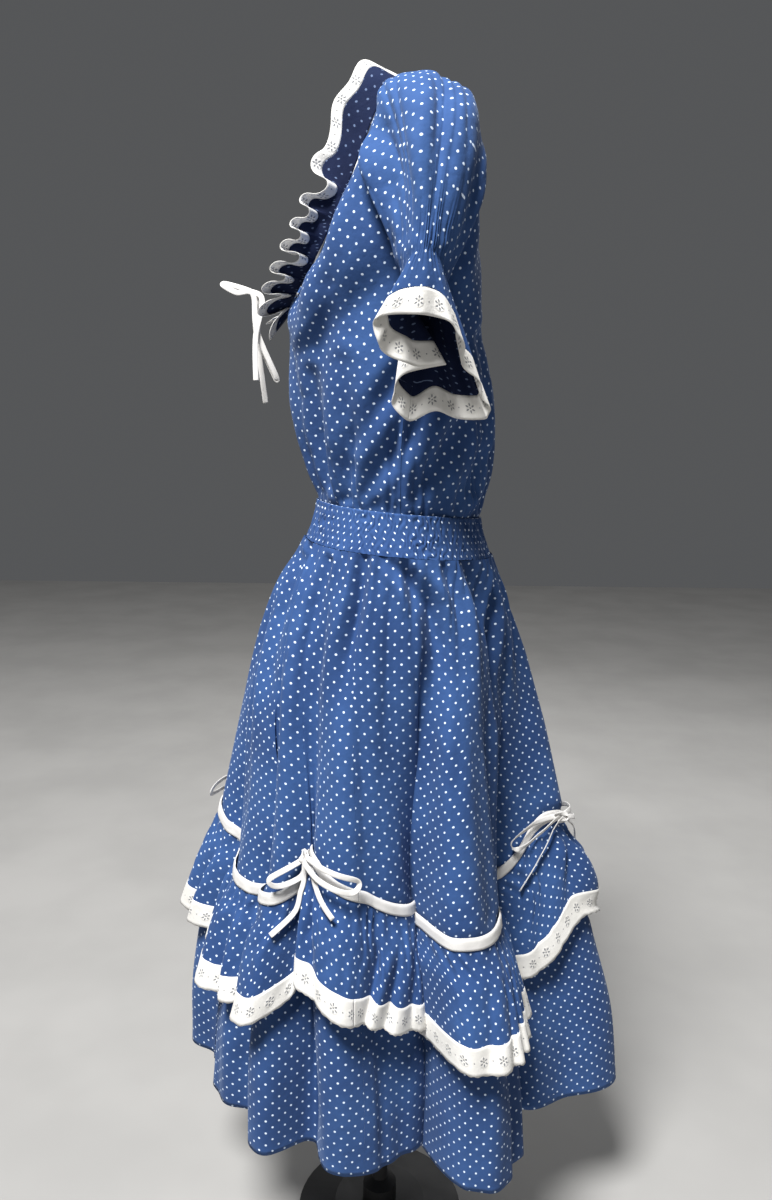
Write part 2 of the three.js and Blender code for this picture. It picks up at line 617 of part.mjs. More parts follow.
// ---- dress form ----
function formGeometry() {
  const points = [];
  const index = [];
  formRows.forEach((row) => {
    const centreY = (row.front + row.back) / 2;
    for (let c = 0; c < formColumns; c += 1) {
      const turn = (2 * Math.PI * c) / formColumns;
      points.push(new THREE.Vector3(row.halfWidth * Math.cos(turn), centreY + (row.back - centreY) * Math.sin(turn), row.z));
    }
  });
  const corner = (r, c) => r * formColumns + (c % formColumns);
  for (let r = 0; r < formRows.length - 1; r += 1) {
    for (let c = 0; c < formColumns; c += 1) {
      index.push(corner(r, c), corner(r, c + 1), corner(r + 1, c + 1));
      index.push(corner(r, c), corner(r + 1, c + 1), corner(r + 1, c));
    }
  }
  const lowest = formRows[0];
  const highest = formRows[formRows.length - 1];
  const cap = (row, z, ring, turned) => {
    const middle = points.push(new THREE.Vector3(0, (row.front + row.back) / 2, z)) - 1;
    for (let c = 0; c < formColumns; c += 1) {
      const pair = turned ? [corner(ring, c + 1), corner(ring, c)] : [corner(ring, c), corner(ring, c + 1)];
      index.push(middle, ...pair);
    }
  };
  cap(lowest, lowest.z, 0, true);
  cap(highest, highest.z + 6, formRows.length - 1, false);
  return facingOut(points, index);
}
add('form_torso', 'jersey', formGeometry());

function turned(profile, segments) {
  const lathe = new THREE.LatheGeometry(profile.map(([r, z]) => new THREE.Vector2(r, z)), segments);
  return lathe.rotateX(Math.PI / 2);
}
add('form_base', 'metal', turned([[0, 0], [base.radius, 0], [base.radius, base.edge], [base.radius * 0.55, base.height],
  [0, base.height]], 48));
add('form_pole', 'metal', turned([[0, base.height + seamGap], [22, base.height + seamGap], [22, base.height + 26],
  [pole.radius, base.height + 34], [pole.radius, pole.top - seamGap], [0, pole.top - seamGap]], 24));

export default set;
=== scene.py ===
# Square dance blouse and skirt on a dress form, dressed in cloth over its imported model.
# Metres, +Z up. The wearer would face -Y, with their left side towards +X. Tables are in millimetres.
import math

import bpy
import numpy as np
from mathutils import Matrix, Vector


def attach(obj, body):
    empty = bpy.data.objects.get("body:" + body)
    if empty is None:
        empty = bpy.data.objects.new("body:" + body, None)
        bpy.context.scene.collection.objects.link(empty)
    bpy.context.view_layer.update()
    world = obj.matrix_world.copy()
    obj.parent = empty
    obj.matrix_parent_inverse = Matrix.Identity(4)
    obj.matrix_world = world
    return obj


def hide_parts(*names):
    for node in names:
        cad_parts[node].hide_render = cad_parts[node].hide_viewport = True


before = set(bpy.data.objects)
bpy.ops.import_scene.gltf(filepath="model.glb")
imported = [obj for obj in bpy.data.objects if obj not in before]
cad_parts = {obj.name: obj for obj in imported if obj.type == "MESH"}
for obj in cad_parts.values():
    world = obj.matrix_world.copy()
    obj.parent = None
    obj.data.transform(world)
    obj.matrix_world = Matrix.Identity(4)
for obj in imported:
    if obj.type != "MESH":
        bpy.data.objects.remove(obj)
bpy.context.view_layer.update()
print("packed model loaded")

mm = 0.001
degree = math.pi / 180


# camera, floor and light
view = {"place": (1.07, 0.0, 0.998), "downward": 9.03, "roll": 0.62, "lens": 27.0, "sensor": 36.0}
studio = {"sky": (0.80, 0.82, 0.85), "skyStrength": 0.115, "floorReach": 6.0, "floorGap": 0.0005}
lamps = [
    {"name": "key", "place": (2.0, -1.0, 4.5), "aim": (0.0, 0.0, 0.8), "size": 1.4, "watts": 490},
    {"name": "fill", "place": (2.4, 1.4, 1.5), "aim": (0.0, 0.0, 0.7), "size": 1.8, "watts": 4},
    {"name": "behind", "place": (-2.2, 0.6, 2.2), "aim": (0.0, 0.0, 0.8), "size": 1.8, "watts": 28},
]


def placed(name, data):
    # a new object in the scene
    item = bpy.data.objects.new(name, data)
    bpy.context.scene.collection.objects.link(item)
    return item


def addCamera():
    # looks towards -X, pitched down and then rolled about its own line of sight
    data = bpy.data.cameras.new("viewpoint")
    data.sensor_fit = "VERTICAL"
    data.sensor_height = view["sensor"]
    data.lens = view["lens"]
    camera = placed("viewpoint", data)
    pitch, roll = view["downward"] * degree, view["roll"] * degree
    level = np.array([0.0, 1.0, 0.0])
    upright = np.array([-math.sin(pitch), 0.0, math.cos(pitch)])
    right = level * math.cos(roll) + upright * math.sin(roll)
    up = upright * math.cos(roll) - level * math.sin(roll)
    matrix = Matrix(np.array([right, up, np.cross(right, up)]).T.tolist()).to_4x4()
    matrix.translation = view["place"]
    camera.matrix_world = matrix
    bpy.context.scene.camera = camera


def addLamps():
    for lamp in lamps:
        data = bpy.data.lights.new(lamp["name"], "AREA")
        data.shape = "DISK"
        data.size = lamp["size"]
        data.energy = lamp["watts"]
        light = placed(lamp["name"], data)
        light.location = lamp["place"]
        aim = Vector(lamp["aim"]) - Vector(lamp["place"])
        light.rotation_euler = aim.to_track_quat("-Z", "Y").to_euler()
    world = bpy.data.worlds.new("studio")
    world.use_nodes = True
    sky = world.node_tree.nodes["Background"]
    sky.inputs["Color"].default_value = (*studio["sky"], 1)
    sky.inputs["Strength"].default_value = studio["skyStrength"]
    bpy.context.scene.world = world
    bpy.context.scene.view_settings.view_transform = "Standard"


addCamera()
addLamps()
print("camera and lights placed")


# shaders
class Flow:
    # a node's output, which can be added, multiplied and so on as a number is
    def __init__(self, shader, socket):
        self.shader = shader
        self.socket = socket

    def math(self, operation, *others):
        return self.shader.node("Math", {"operation": operation}, [self, *others])

    def __add__(self, other):
        return self.math("ADD", other)

    def __sub__(self, other):
        return self.math("SUBTRACT", other)

    def __rsub__(self, other):
        return self.shader.node("Math", {"operation": "SUBTRACT"}, [other, self])

    def __mul__(self, other):
        return self.math("MULTIPLY", other)

    def __truediv__(self, other):
        return self.math("DIVIDE", other)

    __radd__, __rmul__ = __add__, __mul__

    def step(self, start, end):
        # 0 below start and 1 above end, smooth between
        return self.shader.node("MapRange", {"interpolation_type": "SMOOTHSTEP"},
                                {"Value": self, "From Min": start, "From Max": end})


class Shader:
    def __init__(self, name):
        self.material = bpy.data.materials.new(name)
        self.material.use_nodes = True
        self.tree = self.material.node_tree
        self.surface = self.tree.nodes["Principled BSDF"]

    def node(self, kind, settings=None, inputs=None, output=0):
        # adds a node; inputs are given in order or by name, as flows or as fixed values
        node = self.tree.nodes.new("ShaderNode" + kind)
        for key, value in (settings or {}).items():
            setattr(node, key, value)
        pairs = inputs.items() if isinstance(inputs, dict) else enumerate(inputs or [])
        for key, value in pairs:
            self.put(node, key, value)
        return Flow(self, node.outputs[output])

    def cut(self):
        # the cloth's own flat coordinates, in metres: across and down
        where = self.node("UVMap", {"uv_map": "cut"})
        return [self.node("SeparateXYZ", {}, [where], axis) for axis in (0, 1)]

    def place(self):
        return self.node("TexCoord", {}, None, "Object")

    def noise(self, where, scale, detail=3.0, roughness=0.55):
        return self.node("TexNoise", {}, {"Vector": where, "Scale": scale, "Detail": detail, "Roughness": roughness})

    def blend(self, amount, low, high):
        # the colour low where amount is 0 and high where it is 1
        low, high = (colour if isinstance(colour, Flow) else (*colour, 1) for colour in (low, high))
        return self.node("Mix", {"data_type": "RGBA"}, {0: amount, 6: low, 7: high}, 2)

    def put(self, node, key, value):
        # a flow is linked to the node's input, and anything else is its fixed value
        if isinstance(value, Flow):
            self.tree.links.new(value.socket, node.inputs[key])
        else:
            node.inputs[key].default_value = value

    def feed(self, name, value):
        self.put(self.surface, name, value)

    def bump(self, height, depth, strength=1.0):
        self.feed("Normal", self.node("Bump", {}, {"Height": height, "Distance": depth, "Strength": strength}))


# colours of the cloth with its cloudy patches, and of the dots
cotton = {"blue": (0.031, 0.080, 0.222), "deep": (0.020, 0.053, 0.160), "dot": (0.66, 0.76, 0.90), "sheen": 0.10}
# the wrong side's colours are painted shade: the cloth darkened nearly to black for the insides of the sleeves and the
# neck ruffle
shadedWrongSide = {"blue": (0.005, 0.012, 0.046), "deep": (0.003, 0.007, 0.030), "dot": (0.11, 0.15, 0.25), "sheen": 0.03}
dots = {"pitch": 0.0104, "radius": 0.00122, "blur": 0.00022, "raised": 0.00006}
weave = {"cotton": 9500.0, "lace": 7800.0, "twill": 5200.0}  # turns of thread, in radians a metre


def dottedCotton(name, colours):
    s = Shader(name)
    across, down = s.cut()
    # a square lattice of dots turned by 45 degrees
    half = math.sqrt(0.5) / dots["pitch"]
    first = ((across + down) * half).math("FRACT") - 0.5
    second = ((across - down) * half).math("FRACT") - 0.5
    away = (first * first + second * second).math("SQRT") * dots["pitch"]
    dot = 1 - away.step(dots["radius"] - dots["blur"], dots["radius"] + dots["blur"])
    where = s.place()
    ground = s.blend(s.noise(where, 9.0, 4.0).step(0.35, 0.68), colours["deep"], colours["blue"])
    s.feed("Base Color", s.blend(dot, ground, colours["dot"]))
    s.feed("Roughness", s.noise(where, 60.0) * 0.12 + 0.8)
    s.feed("Sheen Weight", colours["sheen"])
    s.feed("Sheen Roughness", 0.5)
    s.feed("Sheen Tint", (0.55, 0.7, 1.0, 1.0))
    s.feed("Specular IOR Level", 0.18)
    threads = (across * weave["cotton"]).math("SINE") * (down * weave["cotton"]).math("SINE")
    crumple = s.noise(where, 46.0, 5.0, 0.6)
    s.bump(crumple * 0.0026 + threads * 0.00003 + dot * dots["raised"], 1.0, 0.55)
    return s.material


# lace colours; the holes' colour is painted shade in the openings
lace = {"white": (0.72, 0.705, 0.675), "shade": (0.61, 0.595, 0.56), "hole": (0.12, 0.13, 0.15), "spacing": 0.0232,
        "ring": 0.0036, "petal": (0.00088, 0.00128), "middle": (0.0007, 0.0011), "speck": (0.0005, 0.0009),
        "stitching": (0.0012, 0.0026), "level": 0.52}


def eyeletLace(name, width):
    # flowers of six holes in a ring round a seventh, spaced along the edging, with a small dot between them
    s = Shader(name)
    along, down = s.cut()
    part = (along / lace["spacing"]).math("FRACT") - 0.5
    x = part * lace["spacing"]
    y = down - width * lace["level"]
    reach = (x * x + y * y).math("SQRT")
    turn = s.node("Math", {"operation": "ARCTAN2"}, [y, x])
    petal = (turn * (3 / math.pi)).math("FRACT") - 0.5
    sideways = petal * (math.pi / 3) * reach
    outward = reach - lace["ring"]
    hole = (sideways * sideways * 1.7 + outward * outward * 0.5).math("SQRT").step(*lace["petal"])
    middle = reach.step(*lace["middle"])
    between = part.math("ABSOLUTE") * lace["spacing"] - lace["spacing"] / 2
    speck = (between * between + y * y).math("SQRT").step(*lace["speck"])
    holes = 1 - hole * middle * speck
    stitched = (1 - outward.math("ABSOLUTE").step(*lace["stitching"])) * (1 - holes)
    where = s.place()
    ground = s.blend(s.noise(where, 30.0, 4.0).step(0.3, 0.75), lace["shade"], lace["white"])
    # the holes are painted near black, a painted shade in the openings
    s.feed("Base Color", s.blend(holes * 0.85, ground, lace["hole"]))
    s.feed("Roughness", s.noise(where, 90.0) * 0.1 + 0.74)
    s.feed("Sheen Weight", 0.2)
    threads = (along * weave["lace"]).math("SINE") * (down * weave["lace"]).math("SINE")
    puckers = s.noise(where, 130.0, 3.0)
    s.bump(stitched * 0.0005 - holes * 0.0009 + threads * 0.00005 + puckers * 0.0008, 1.0, 0.6)
    return s.material


def twillTape(name):
    s = Shader(name)
    along, down = s.cut()
    where = s.place()
    twill = ((along + down) * weave["twill"]).math("SINE")
    tone = s.noise(where, 40.0, 4.0).step(0.3, 0.75)
    s.feed("Base Color", s.blend(tone, (0.58, 0.565, 0.54), (0.67, 0.655, 0.635)))
    s.feed("Roughness", s.noise(where, 80.0) * 0.1 + 0.7)
    s.feed("Sheen Weight", 0.15)
    s.bump(twill * 0.00006 + s.noise(where, 160.0) * 0.0006, 1.0, 0.5)
    return s.material


plainLooks = {  # two colours in patches, roughness with its grain, sheen, and fine bumps as scale, height and strength
    "black jersey": {"colours": ((0.014, 0.014, 0.016), (0.024, 0.024, 0.027)), "patches": 25.0, "low": 0.3,
                     "rough": 0.82, "uneven": 0.1, "grain": (120.0, 3.0), "sheen": 0.3, "bump": (1400.0, 0.0004, 0.5)},
    "black painted metal": {"colours": ((0.006, 0.006, 0.007), (0.010, 0.010, 0.011)), "patches": 14.0, "low": 0.35,
                            "rough": 0.5, "uneven": 0.18, "grain": (45.0, 5.0), "sheen": 0.0,
                            "bump": (700.0, 0.0002, 0.4)},
    "pale floor": {"colours": ((0.310, 0.304, 0.294), (0.345, 0.338, 0.327)), "patches": 3.0, "low": 0.3,
                   "rough": 0.6, "uneven": 0.1, "grain": (20.0, 3.0), "sheen": 0.0, "bump": None},
}


def plainLook(name):
    look = plainLooks[name]
    s = Shader(name)
    where = s.place()
    s.feed("Base Color", s.blend(s.noise(where, look["patches"]).step(look["low"], 0.7), *look["colours"]))
    s.feed("Roughness", s.noise(where, *look["grain"]) * look["uneven"] + look["rough"])
    s.feed("Sheen Weight", look["sheen"])
    if look["bump"]:
        scale, height, strength = look["bump"]
        s.bump(s.noise(where, scale, 2.0), height, strength)
    return s.material


cottonCloth = dottedCotton("dotted cotton", cotton)
# the wrong side's material, darkened as painted shade
shadedCottonBack = dottedCotton("dotted cotton wrong side painted shade", shadedWrongSide)
flounceEyelet = eyeletLace("eyelet lace wide", 0.029)
sleeveEyelet = eyeletLace("eyelet lace sleeve", 0.024)
neckEyelet = eyeletLace("eyelet lace neck", 0.013)
whiteTwill = twillTape("white twill tape")
jersey, paint = plainLook("black jersey"), plainLook("black painted metal")
print("materials made")


# surfaces, as grids of points; first and last are all the rows or columns but the last, and all but the first
whole, first, last = slice(None), slice(None, -1), slice(1, None)


def mix(a, b, t):
    # a where t is 0 and b where it is 1
    return a + (b - a) * t


def unit(v):
    # directions of length 1
    return v / np.maximum(np.linalg.norm(v, axis=-1, keepdims=True), 1e-9)


def joined(*parts):
    # points from their coordinates, each of any shape that fits the others
    return np.stack(np.broadcast_arrays(*parts), -1)


def runningLength(line):
    # how far along a line each of its points is
    return np.concatenate([[0], np.cumsum(np.linalg.norm(np.diff(line, axis=0), axis=-1))])


def ease(t):
    # 0 to 1 along a smooth step
    t = np.clip(t, 0, 1)
    return t * t * (3 - 2 * t)


def through(rows, x, period=0):
    # smooth value through rows of (x, value) with no overshoot: cubic pieces whose slope is the harmonic mean
    # of the slopes on both sides; period joins the last row to the first
    xs, ys = np.array(rows, float).T
    x = np.asarray(x, float)
    if period:
        xs = np.concatenate([xs[-2:] - period, xs, xs[:2] + period])
        ys = np.concatenate([ys[-2:], ys, ys[:2]])
        x = xs[1] + (x - xs[1]) % period
    slopes = np.diff(ys) / np.diff(xs)
    before, after = slopes[:-1], slopes[1:]
    same = before * after > 0
    inner = np.where(same, 2 * before * after / np.where(same, before + after, 1), 0)
    tangents = np.concatenate([slopes[:1], inner, slopes[-1:]])
    i = np.clip(np.searchsorted(xs, x, side="left") - 1, 0, len(xs) - 2)
    width = xs[i + 1] - xs[i]
    t = np.clip((x - xs[i]) / width, 0, 1)
    return (mix(ys[i], ys[i + 1], t * t * (3 - 2 * t))
            + width * (tangents[i] * t * (1 - t) ** 2 - tangents[i + 1] * t * t * (1 - t)))


def curveThrough(points, share, closed=True):
    # a point on the smooth curve through all points; share runs from 0 to 1
    points = np.array(points, float)
    count = len(points)
    s = np.asarray(share, float) * (count if closed else count - 1)
    i = np.floor(s).astype(int)
    if not closed:
        i = np.clip(i, 0, count - 2)
    t = (s - i)[..., None]

    def at(k):
        return points[k % count] if closed else points[np.clip(k, 0, count - 1)]
    a, b, c, d = at(i - 1), at(i), at(i + 1), at(i + 2)
    return 0.5 * (2 * b + (c - a) * t + (2 * a - 5 * b + 4 * c - d) * t ** 2 + (3 * b - a - 3 * c + d) * t ** 3)


def ripple(turn, down, low, high, seed, drift=0.5):
    # waves of whole counts from low to high round the piece, each drifting by its own amount on the way down
    rng = np.random.RandomState(seed)
    counts = rng.permutation(np.arange(low, high + 1))[:10]
    total = 0
    for count in counts:
        total = total + rng.uniform(0.6, 1) * np.cos(
            2 * math.pi * (count * turn + rng.uniform(0, 1) + drift * rng.normal() * down))
    return total / math.sqrt(0.33 * len(counts))


def gathers(turn, down, count, seed, sway=0.5):
    # round ridges and tight valleys, unevenly spaced and unevenly high, from -0.5 to 0.5
    phase = count * turn + 0.42 * ripple(turn, down, 2, max(3, count // 3), seed, sway)
    fold = np.sqrt(np.cos(math.pi * phase) ** 2 + 0.03)
    height = np.maximum(0.62 + 0.30 * ripple(turn, down, 3, max(6, count // 2), seed + 7, sway), 0.3)
    return (fold - 0.65) * height


def normalsOf(points, closed):
    # the direction out of a grid whose columns run counterclockwise and rows run down
    if closed:
        ring = np.concatenate([points[:, -2:-1], points, points[:, 1:2]], 1)
        across = ring[:, 2:] - ring[:, :-2]
    else:
        across = np.gradient(points, axis=1)
    return unit(np.cross(np.gradient(points, axis=0), across))


def pressed(points, folds, axes, facing):
    # Depth of listed folds. Each fold is a line of (a, b, depth, width) in the plane of two axes, laid on the side
    # that faces one way: a trough of that depth and width, with a low lip on both sides.
    a, b = points[..., axes[0]], points[..., axes[1]]
    axis, way = facing
    onSide = ease(points[..., axis] * way / 60.0)
    total = np.zeros(a.shape)
    for fold in folds:
        rows = np.array(fold, float)
        nearest = np.full(a.shape, 1e9)
        depth = np.zeros(a.shape)
        width = np.ones(a.shape)
        for start, end in zip(rows[:-1], rows[1:]):
            run = end[:2] - start[:2]
            t = np.clip(((a - start[0]) * run[0] + (b - start[1]) * run[1]) / (run @ run), 0, 1)
            away = np.hypot(a - start[0] - t * run[0], b - start[1] - t * run[1])
            closer = away < nearest
            nearest = np.where(closer, away, nearest)
            depth = np.where(closer, mix(start[2], end[2], t), depth)
            width = np.where(closer, mix(start[3], end[3], t), width)
        near = nearest / (1.35 * width)
        total += depth * (0.4 * np.exp(-((near - 1.9) / 0.8) ** 2) - np.exp(-near ** 2))
    return total * onSide


# the plane that each side's folds are drawn in, and the axis and way that it faces
facings = {"left": ((1, 2), (0, 1)), "right": ((1, 2), (0, -1)), "front": ((0, 2), (1, -1)), "back": ((0, 2), (1, 1))}


def laidFolds(points, folds, sides=("left", "right", "front", "back")):
    return sum(pressed(points, folds[side], *facings[side]) for side in sides)


def flatCut(points, middle=None, level=None):
    # How far each point is along its row from the middle column, and down its column. With a level row, the distance
    # along a row is only the level part of it, and the distance down is from that row.
    step = np.diff(points, axis=1)
    across = np.linalg.norm(step if level is None else step[..., :2], axis=-1)
    u = np.pad(np.cumsum(across, 1), ((0, 0), (1, 0)))
    v = np.pad(np.cumsum(np.linalg.norm(np.diff(points, axis=0), axis=-1), 0), ((1, 0), (0, 0)))
    if middle is not None:
        u = u - u[:, middle:middle + 1]
    if level is not None:
        v = v - v[level]
    return np.stack([u, v], -1)


def edgingCut(points, width):
    # a strip as long as its last row and of its true width
    cut = flatCut(points)
    cut[..., 0] = cut[-1:, :, 0]
    cut[..., 1] = np.linspace(0, width, len(points))[:, None]
    return cut


def filledIn(values, places, count):
    # rows known at some places, filled in between them to count rows
    at = np.arange(count)
    below = np.clip(np.searchsorted(places, at, side="right") - 1, 0, len(places) - 2)
    return mix(values[below], values[below + 1],
               ((at - places[below]) / (places[below + 1] - places[below]))[:, None, None])


def settled(points, cut, stride=7, rounds=260, pace=0.12):
    # The flat cut eased towards true lengths: on a coarse grid each link between neighbours pulls its two ends until
    # it is as long in the cut as on the surface.
    rows, columns = (np.append(np.arange(0, size - 1, stride), size - 1) for size in points.shape[:2])
    solid, flat = points[np.ix_(rows, columns)], cut[np.ix_(rows, columns)].copy()
    links = [((whole, first), (whole, last)), ((first, whole), (last, whole)), ((first, first), (last, last)),
             ((first, last), (last, first))]
    lengths = [np.linalg.norm(solid[b] - solid[a], axis=-1) for a, b in links]
    for _ in range(rounds):
        pull = np.zeros(flat.shape)
        for (a, b), length in zip(links, lengths):
            gap = flat[b] - flat[a]
            push = gap * (1 - length / np.maximum(np.linalg.norm(gap, axis=-1), 1e-6))[..., None]
            pull[a] += push
            pull[b] -= push
        flat += pull * pace
    tall = filledIn(flat, rows, points.shape[0]).transpose(1, 0, 2)
    return filledIn(tall, columns, points.shape[1]).transpose(1, 0, 2)


def addSurface(name, points, cut, material, gores=None, wrong=None, wall=0.0, outward=True):
    # a grid of points, in millimetres, as a mesh with its flat cut as its UV map
    points = np.asarray(points) * mm
    rows, columns = points.shape[:2]
    index = np.arange(rows * columns).reshape(rows, columns)
    places = [(first, first), (last, first), (last, last), (first, last)]
    corners, cornerCuts = [index[place] for place in places], [cut[place] for place in places]
    if gores is not None:  # each gore's pattern starts from its own middle column
        shift = cut[:, gores["middles"], 0][:, gores["spans"]]
        starts = gores["starts"][gores["spans"]]
        cornerCuts = [part - joined(shift[row], 0) + starts for part, (row, _) in zip(cornerCuts, places)]
    if not outward:
        corners, cornerCuts = corners[::-1], cornerCuts[::-1]
    quads = np.stack(corners, -1).reshape(-1, 4)
    uvs = np.stack(cornerCuts, 2).reshape(-1, 2)
    mesh = bpy.data.meshes.new(name)
    mesh.from_pydata(points.reshape(-1, 3).tolist(), [], quads.tolist())
    layer = mesh.uv_layers.new(name="cut")
    layer.data.foreach_set("uv", uvs.astype(np.float32).reshape(-1))
    mesh.polygons.foreach_set("use_smooth", np.ones(len(mesh.polygons), bool))
    mesh.materials.append(material)
    piece = placed(name, mesh)
    if wall:
        solid = piece.modifiers.new("wall", "SOLIDIFY")
        solid.thickness = wall
        solid.offset = -1.0
        # the wall's inner face takes the second material, the wrong side's painted shade
        if wrong:
            mesh.materials.append(wrong)
            solid.material_offset = 1
    mesh.update()
    return piece


def finishPiece(piece, node):
    # the piece takes the node's place and belongs to the one body
    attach(piece, "root")
    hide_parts(node)


def areaOf(points):
    # the area of a grid of points in square metres
    a = points[1:, 1:] - points[:-1, :-1]
    b = points[1:, :-1] - points[:-1, 1:]
    return float(np.linalg.norm(np.cross(a, b), axis=-1).sum() / 2 * mm * mm)


def addPiece(name, node, slot, points, cut, material, **more):
    # a surface that stands in for a node, and its area
    piece = addSurface(name, points, cut * mm, material, **more)
    finishPiece(piece, node)
    return piece, areaOf(points)


# skirt
waist = {"halfWidth": 130, "halfDepth": 97, "centreY": 14, "topZ": 939, "bottomZ": 895, "tilt": 10, "flare": 12.5}
hem = {"halfWidth": 181, "halfDepth": 262, "z": 210, "tilt": 20, "turnUp": 11}
skirt = {"columns": 400, "rows": 132, "gores": 4, "topGathers": 66, "lowGathers": 34, "topDepth": 3.0, "lowDepth": 7.5,
         "broadDepth": 3.4, "hemDepth": 2.4, "laidDepth": 1.9, "overhang": 13.0, "hidden": 0.4, "drop": 0.74,
         "seeds": {"back": 5, "front": 6}}
halves = {"back": -15, "front": 165}  # the angle at which each half starts
hemFolds = [  # (angle, radius) of the hem's ridges and valleys
    (-100, 285), (-94, 262), (-90, 234), (-84, 229), (-74, 238), (-66, 222), (-57, 184), (-50, 206), (-45, 232),
    (-39, 184), (-32, 172), (-26, 194), (-19, 206), (-12, 181), (1, 153), (12, 96), (19, 150), (24, 212), (29, 222),
    (37, 208), (50, 174), (74, 151), (84, 214), (94, 289), (104, 262), (123, 206), (143, 230), (160, 172), (178, 207),
    (198, 138), (214, 222), (226, 214), (240, 194), (251, 244),
]
tapeLine = [  # (angle, height) of the tape's middle line
    (-115, 584), (-88, 528), (-66, 500), (-48, 510), (-29, 568), (-14, 533), (8, 498), (30, 484), (60, 484), (78, 500),
    (89, 562), (103, 522), (123, 487), (146, 505), (166, 566), (184, 522), (206, 490), (226, 516),
]
# by the share of the drop: how far the waist's shape has opened, how far the hem's folds show, and the centre's y
flareRows = [(0, 0), (0.1, 0.2), (0.28, 0.43), (0.47, 0.57), (0.7, 0.77), (0.87, 0.94), (1, 1)]
foldRows = [(0, 0), (0.1, 0.05), (0.28, 0.34), (0.47, 0.66), (0.7, 0.9), (0.87, 0.98), (1, 1)]
centreRows = [(0, 14), (0.1, 9), (0.28, 6), (0.47, 8), (0.7, 14), (0.87, 20), (1, 22)]
skirtFolds = {"left": [  # listed one by one, as (y or x, z, depth, width)
    [(-23, 893, 3.5, 4), (-31, 840, 5, 5), (-41, 795, 5, 6), (-46, 750, 3, 8), (-49, 690, 0, 10)],
    [(-6, 896, 1.5, 4), (25, 873, 4, 6), (48, 840, 6, 8), (59, 803, 6, 9), (66, 765, 3, 11), (70, 700, 0, 12)],
    [(85, 889, 3, 5), (109, 840, 7, 8), (123, 795, 7, 9), (133, 748, 5, 10), (143, 690, 0, 12)],
    [(-97, 885, 3, 4), (-122, 817, 5, 7), (-133, 760, 4, 9), (-136, 690, 0, 10)],
    [(20, 890, 2, 3), (30, 850, 2.5, 5), (34, 800, 0, 6)],
    [(62, 888, 2.5, 3), (72, 850, 3, 5), (80, 800, 1.5, 6), (84, 760, 0, 7)],
    [(-62, 888, 2.5, 3), (-72, 845, 3, 5), (-82, 790, 0, 6)],
    [(118, 880, 2.5, 4), (150, 800, 4, 7), (168, 730, 3, 9), (178, 650, 0, 10)],
], "right": [
    [(-40, 890, 3.5, 4), (-52, 835, 5, 6), (-60, 780, 5, 7), (-66, 720, 0, 9)],
    [(10, 888, 3, 4), (18, 840, 5, 7), (14, 780, 5, 9), (6, 710, 0, 10)],
    [(66, 886, 3, 5), (88, 835, 6, 8), (100, 780, 6, 9), (108, 700, 0, 11)],
    [(-92, 884, 2.5, 4), (-112, 820, 4, 7), (-122, 750, 0, 9)],
    [(104, 882, 2.5, 4), (132, 800, 4, 7), (150, 730, 0, 9)],
], "front": [
    [(-60, 896, 3, 4), (-72, 845, 5, 6), (-80, 780, 4, 8), (-84, 700, 0, 9)],
    [(12, 900, 3, 4), (6, 850, 5, 7), (-4, 790, 5, 9), (-8, 700, 0, 10)],
    [(66, 896, 3, 4), (80, 845, 5, 6), (84, 780, 4, 8), (88, 710, 0, 9)],
], "back": [
    [(-66, 878, 3, 4), (-78, 830, 5, 6), (-92, 760, 5, 8), (-98, 690, 0, 9)],
    [(-10, 876, 3, 4), (-4, 820, 5, 7), (4, 760, 5, 9), (4, 680, 0, 10)],
    [(58, 878, 3, 4), (66, 830, 5, 6), (82, 760, 4, 8), (88, 690, 0, 9)],
]}


def ellipseRadius(halfWidth, halfDepth, angle):
    # how far the ellipse's outline is from its centre in that direction
    return 1 / np.hypot(np.cos(angle * degree) / halfWidth, np.sin(angle * degree) / halfDepth)


def tilted(ring, height, angle):
    # a level ring tilted by a sine, lower at the back
    return height - ring["tilt"] * np.sin(angle * degree)


def bandBottom(angle):
    return tilted(waist, waist["bottomZ"], angle)


def hemZ(angle):
    return tilted(hem, hem["z"], angle)


def skirtRadius(angle, drop):
    # the waist's ellipse opens into the hem's, and the hem's folds fade in on the way down
    atWaist = ellipseRadius(waist["halfWidth"] + waist["flare"], waist["halfDepth"] + waist["flare"], angle)
    atHem = ellipseRadius(hem["halfWidth"], hem["halfDepth"], angle)
    return (mix(atWaist, atHem, through(flareRows, drop))
            + (through(hemFolds, angle, 360) - atHem) * through(foldRows, drop))


def skirtDrop(angle, z):
    # 0 at the skirt's top and 1 at its hem
    top = bandBottom(angle) - 0.3
    return (top - z) / (top - hemZ(angle))


def skirtPoint(angle, z, further=0.0):
    # a point on the skirt, or further out; the walls of a fold are drawn towards its valley, so that ridges overhang
    drop = skirtDrop(angle, z)
    radius = skirtRadius(angle, drop)
    slope = (skirtRadius(angle + 3, drop) - skirtRadius(angle - 3, drop)) / (6 * degree * radius)
    lean = angle - skirt["overhang"] * np.tanh(slope) * ease(drop / 0.6) / (radius * degree)
    centre = through(centreRows, drop)
    radius = radius + further
    return joined(radius * np.cos(lean * degree), centre + radius * np.sin(lean * degree), z)


def tapeZ(angle):
    # the swags, as the height of the tape's middle line
    return through(tapeLine, angle, 360)


def evenAngles(start, end, count, byLength=0.65):
    # angles spaced by a blend of length along the hem and of turn
    fine = np.linspace(start, end, 2001)
    length = runningLength(skirtPoint(fine, hemZ(fine)))
    share = byLength * length / length[-1] + (1 - byLength) * np.linspace(0, 1, 2001)
    return np.interp(np.linspace(0, 1, count), share, fine)


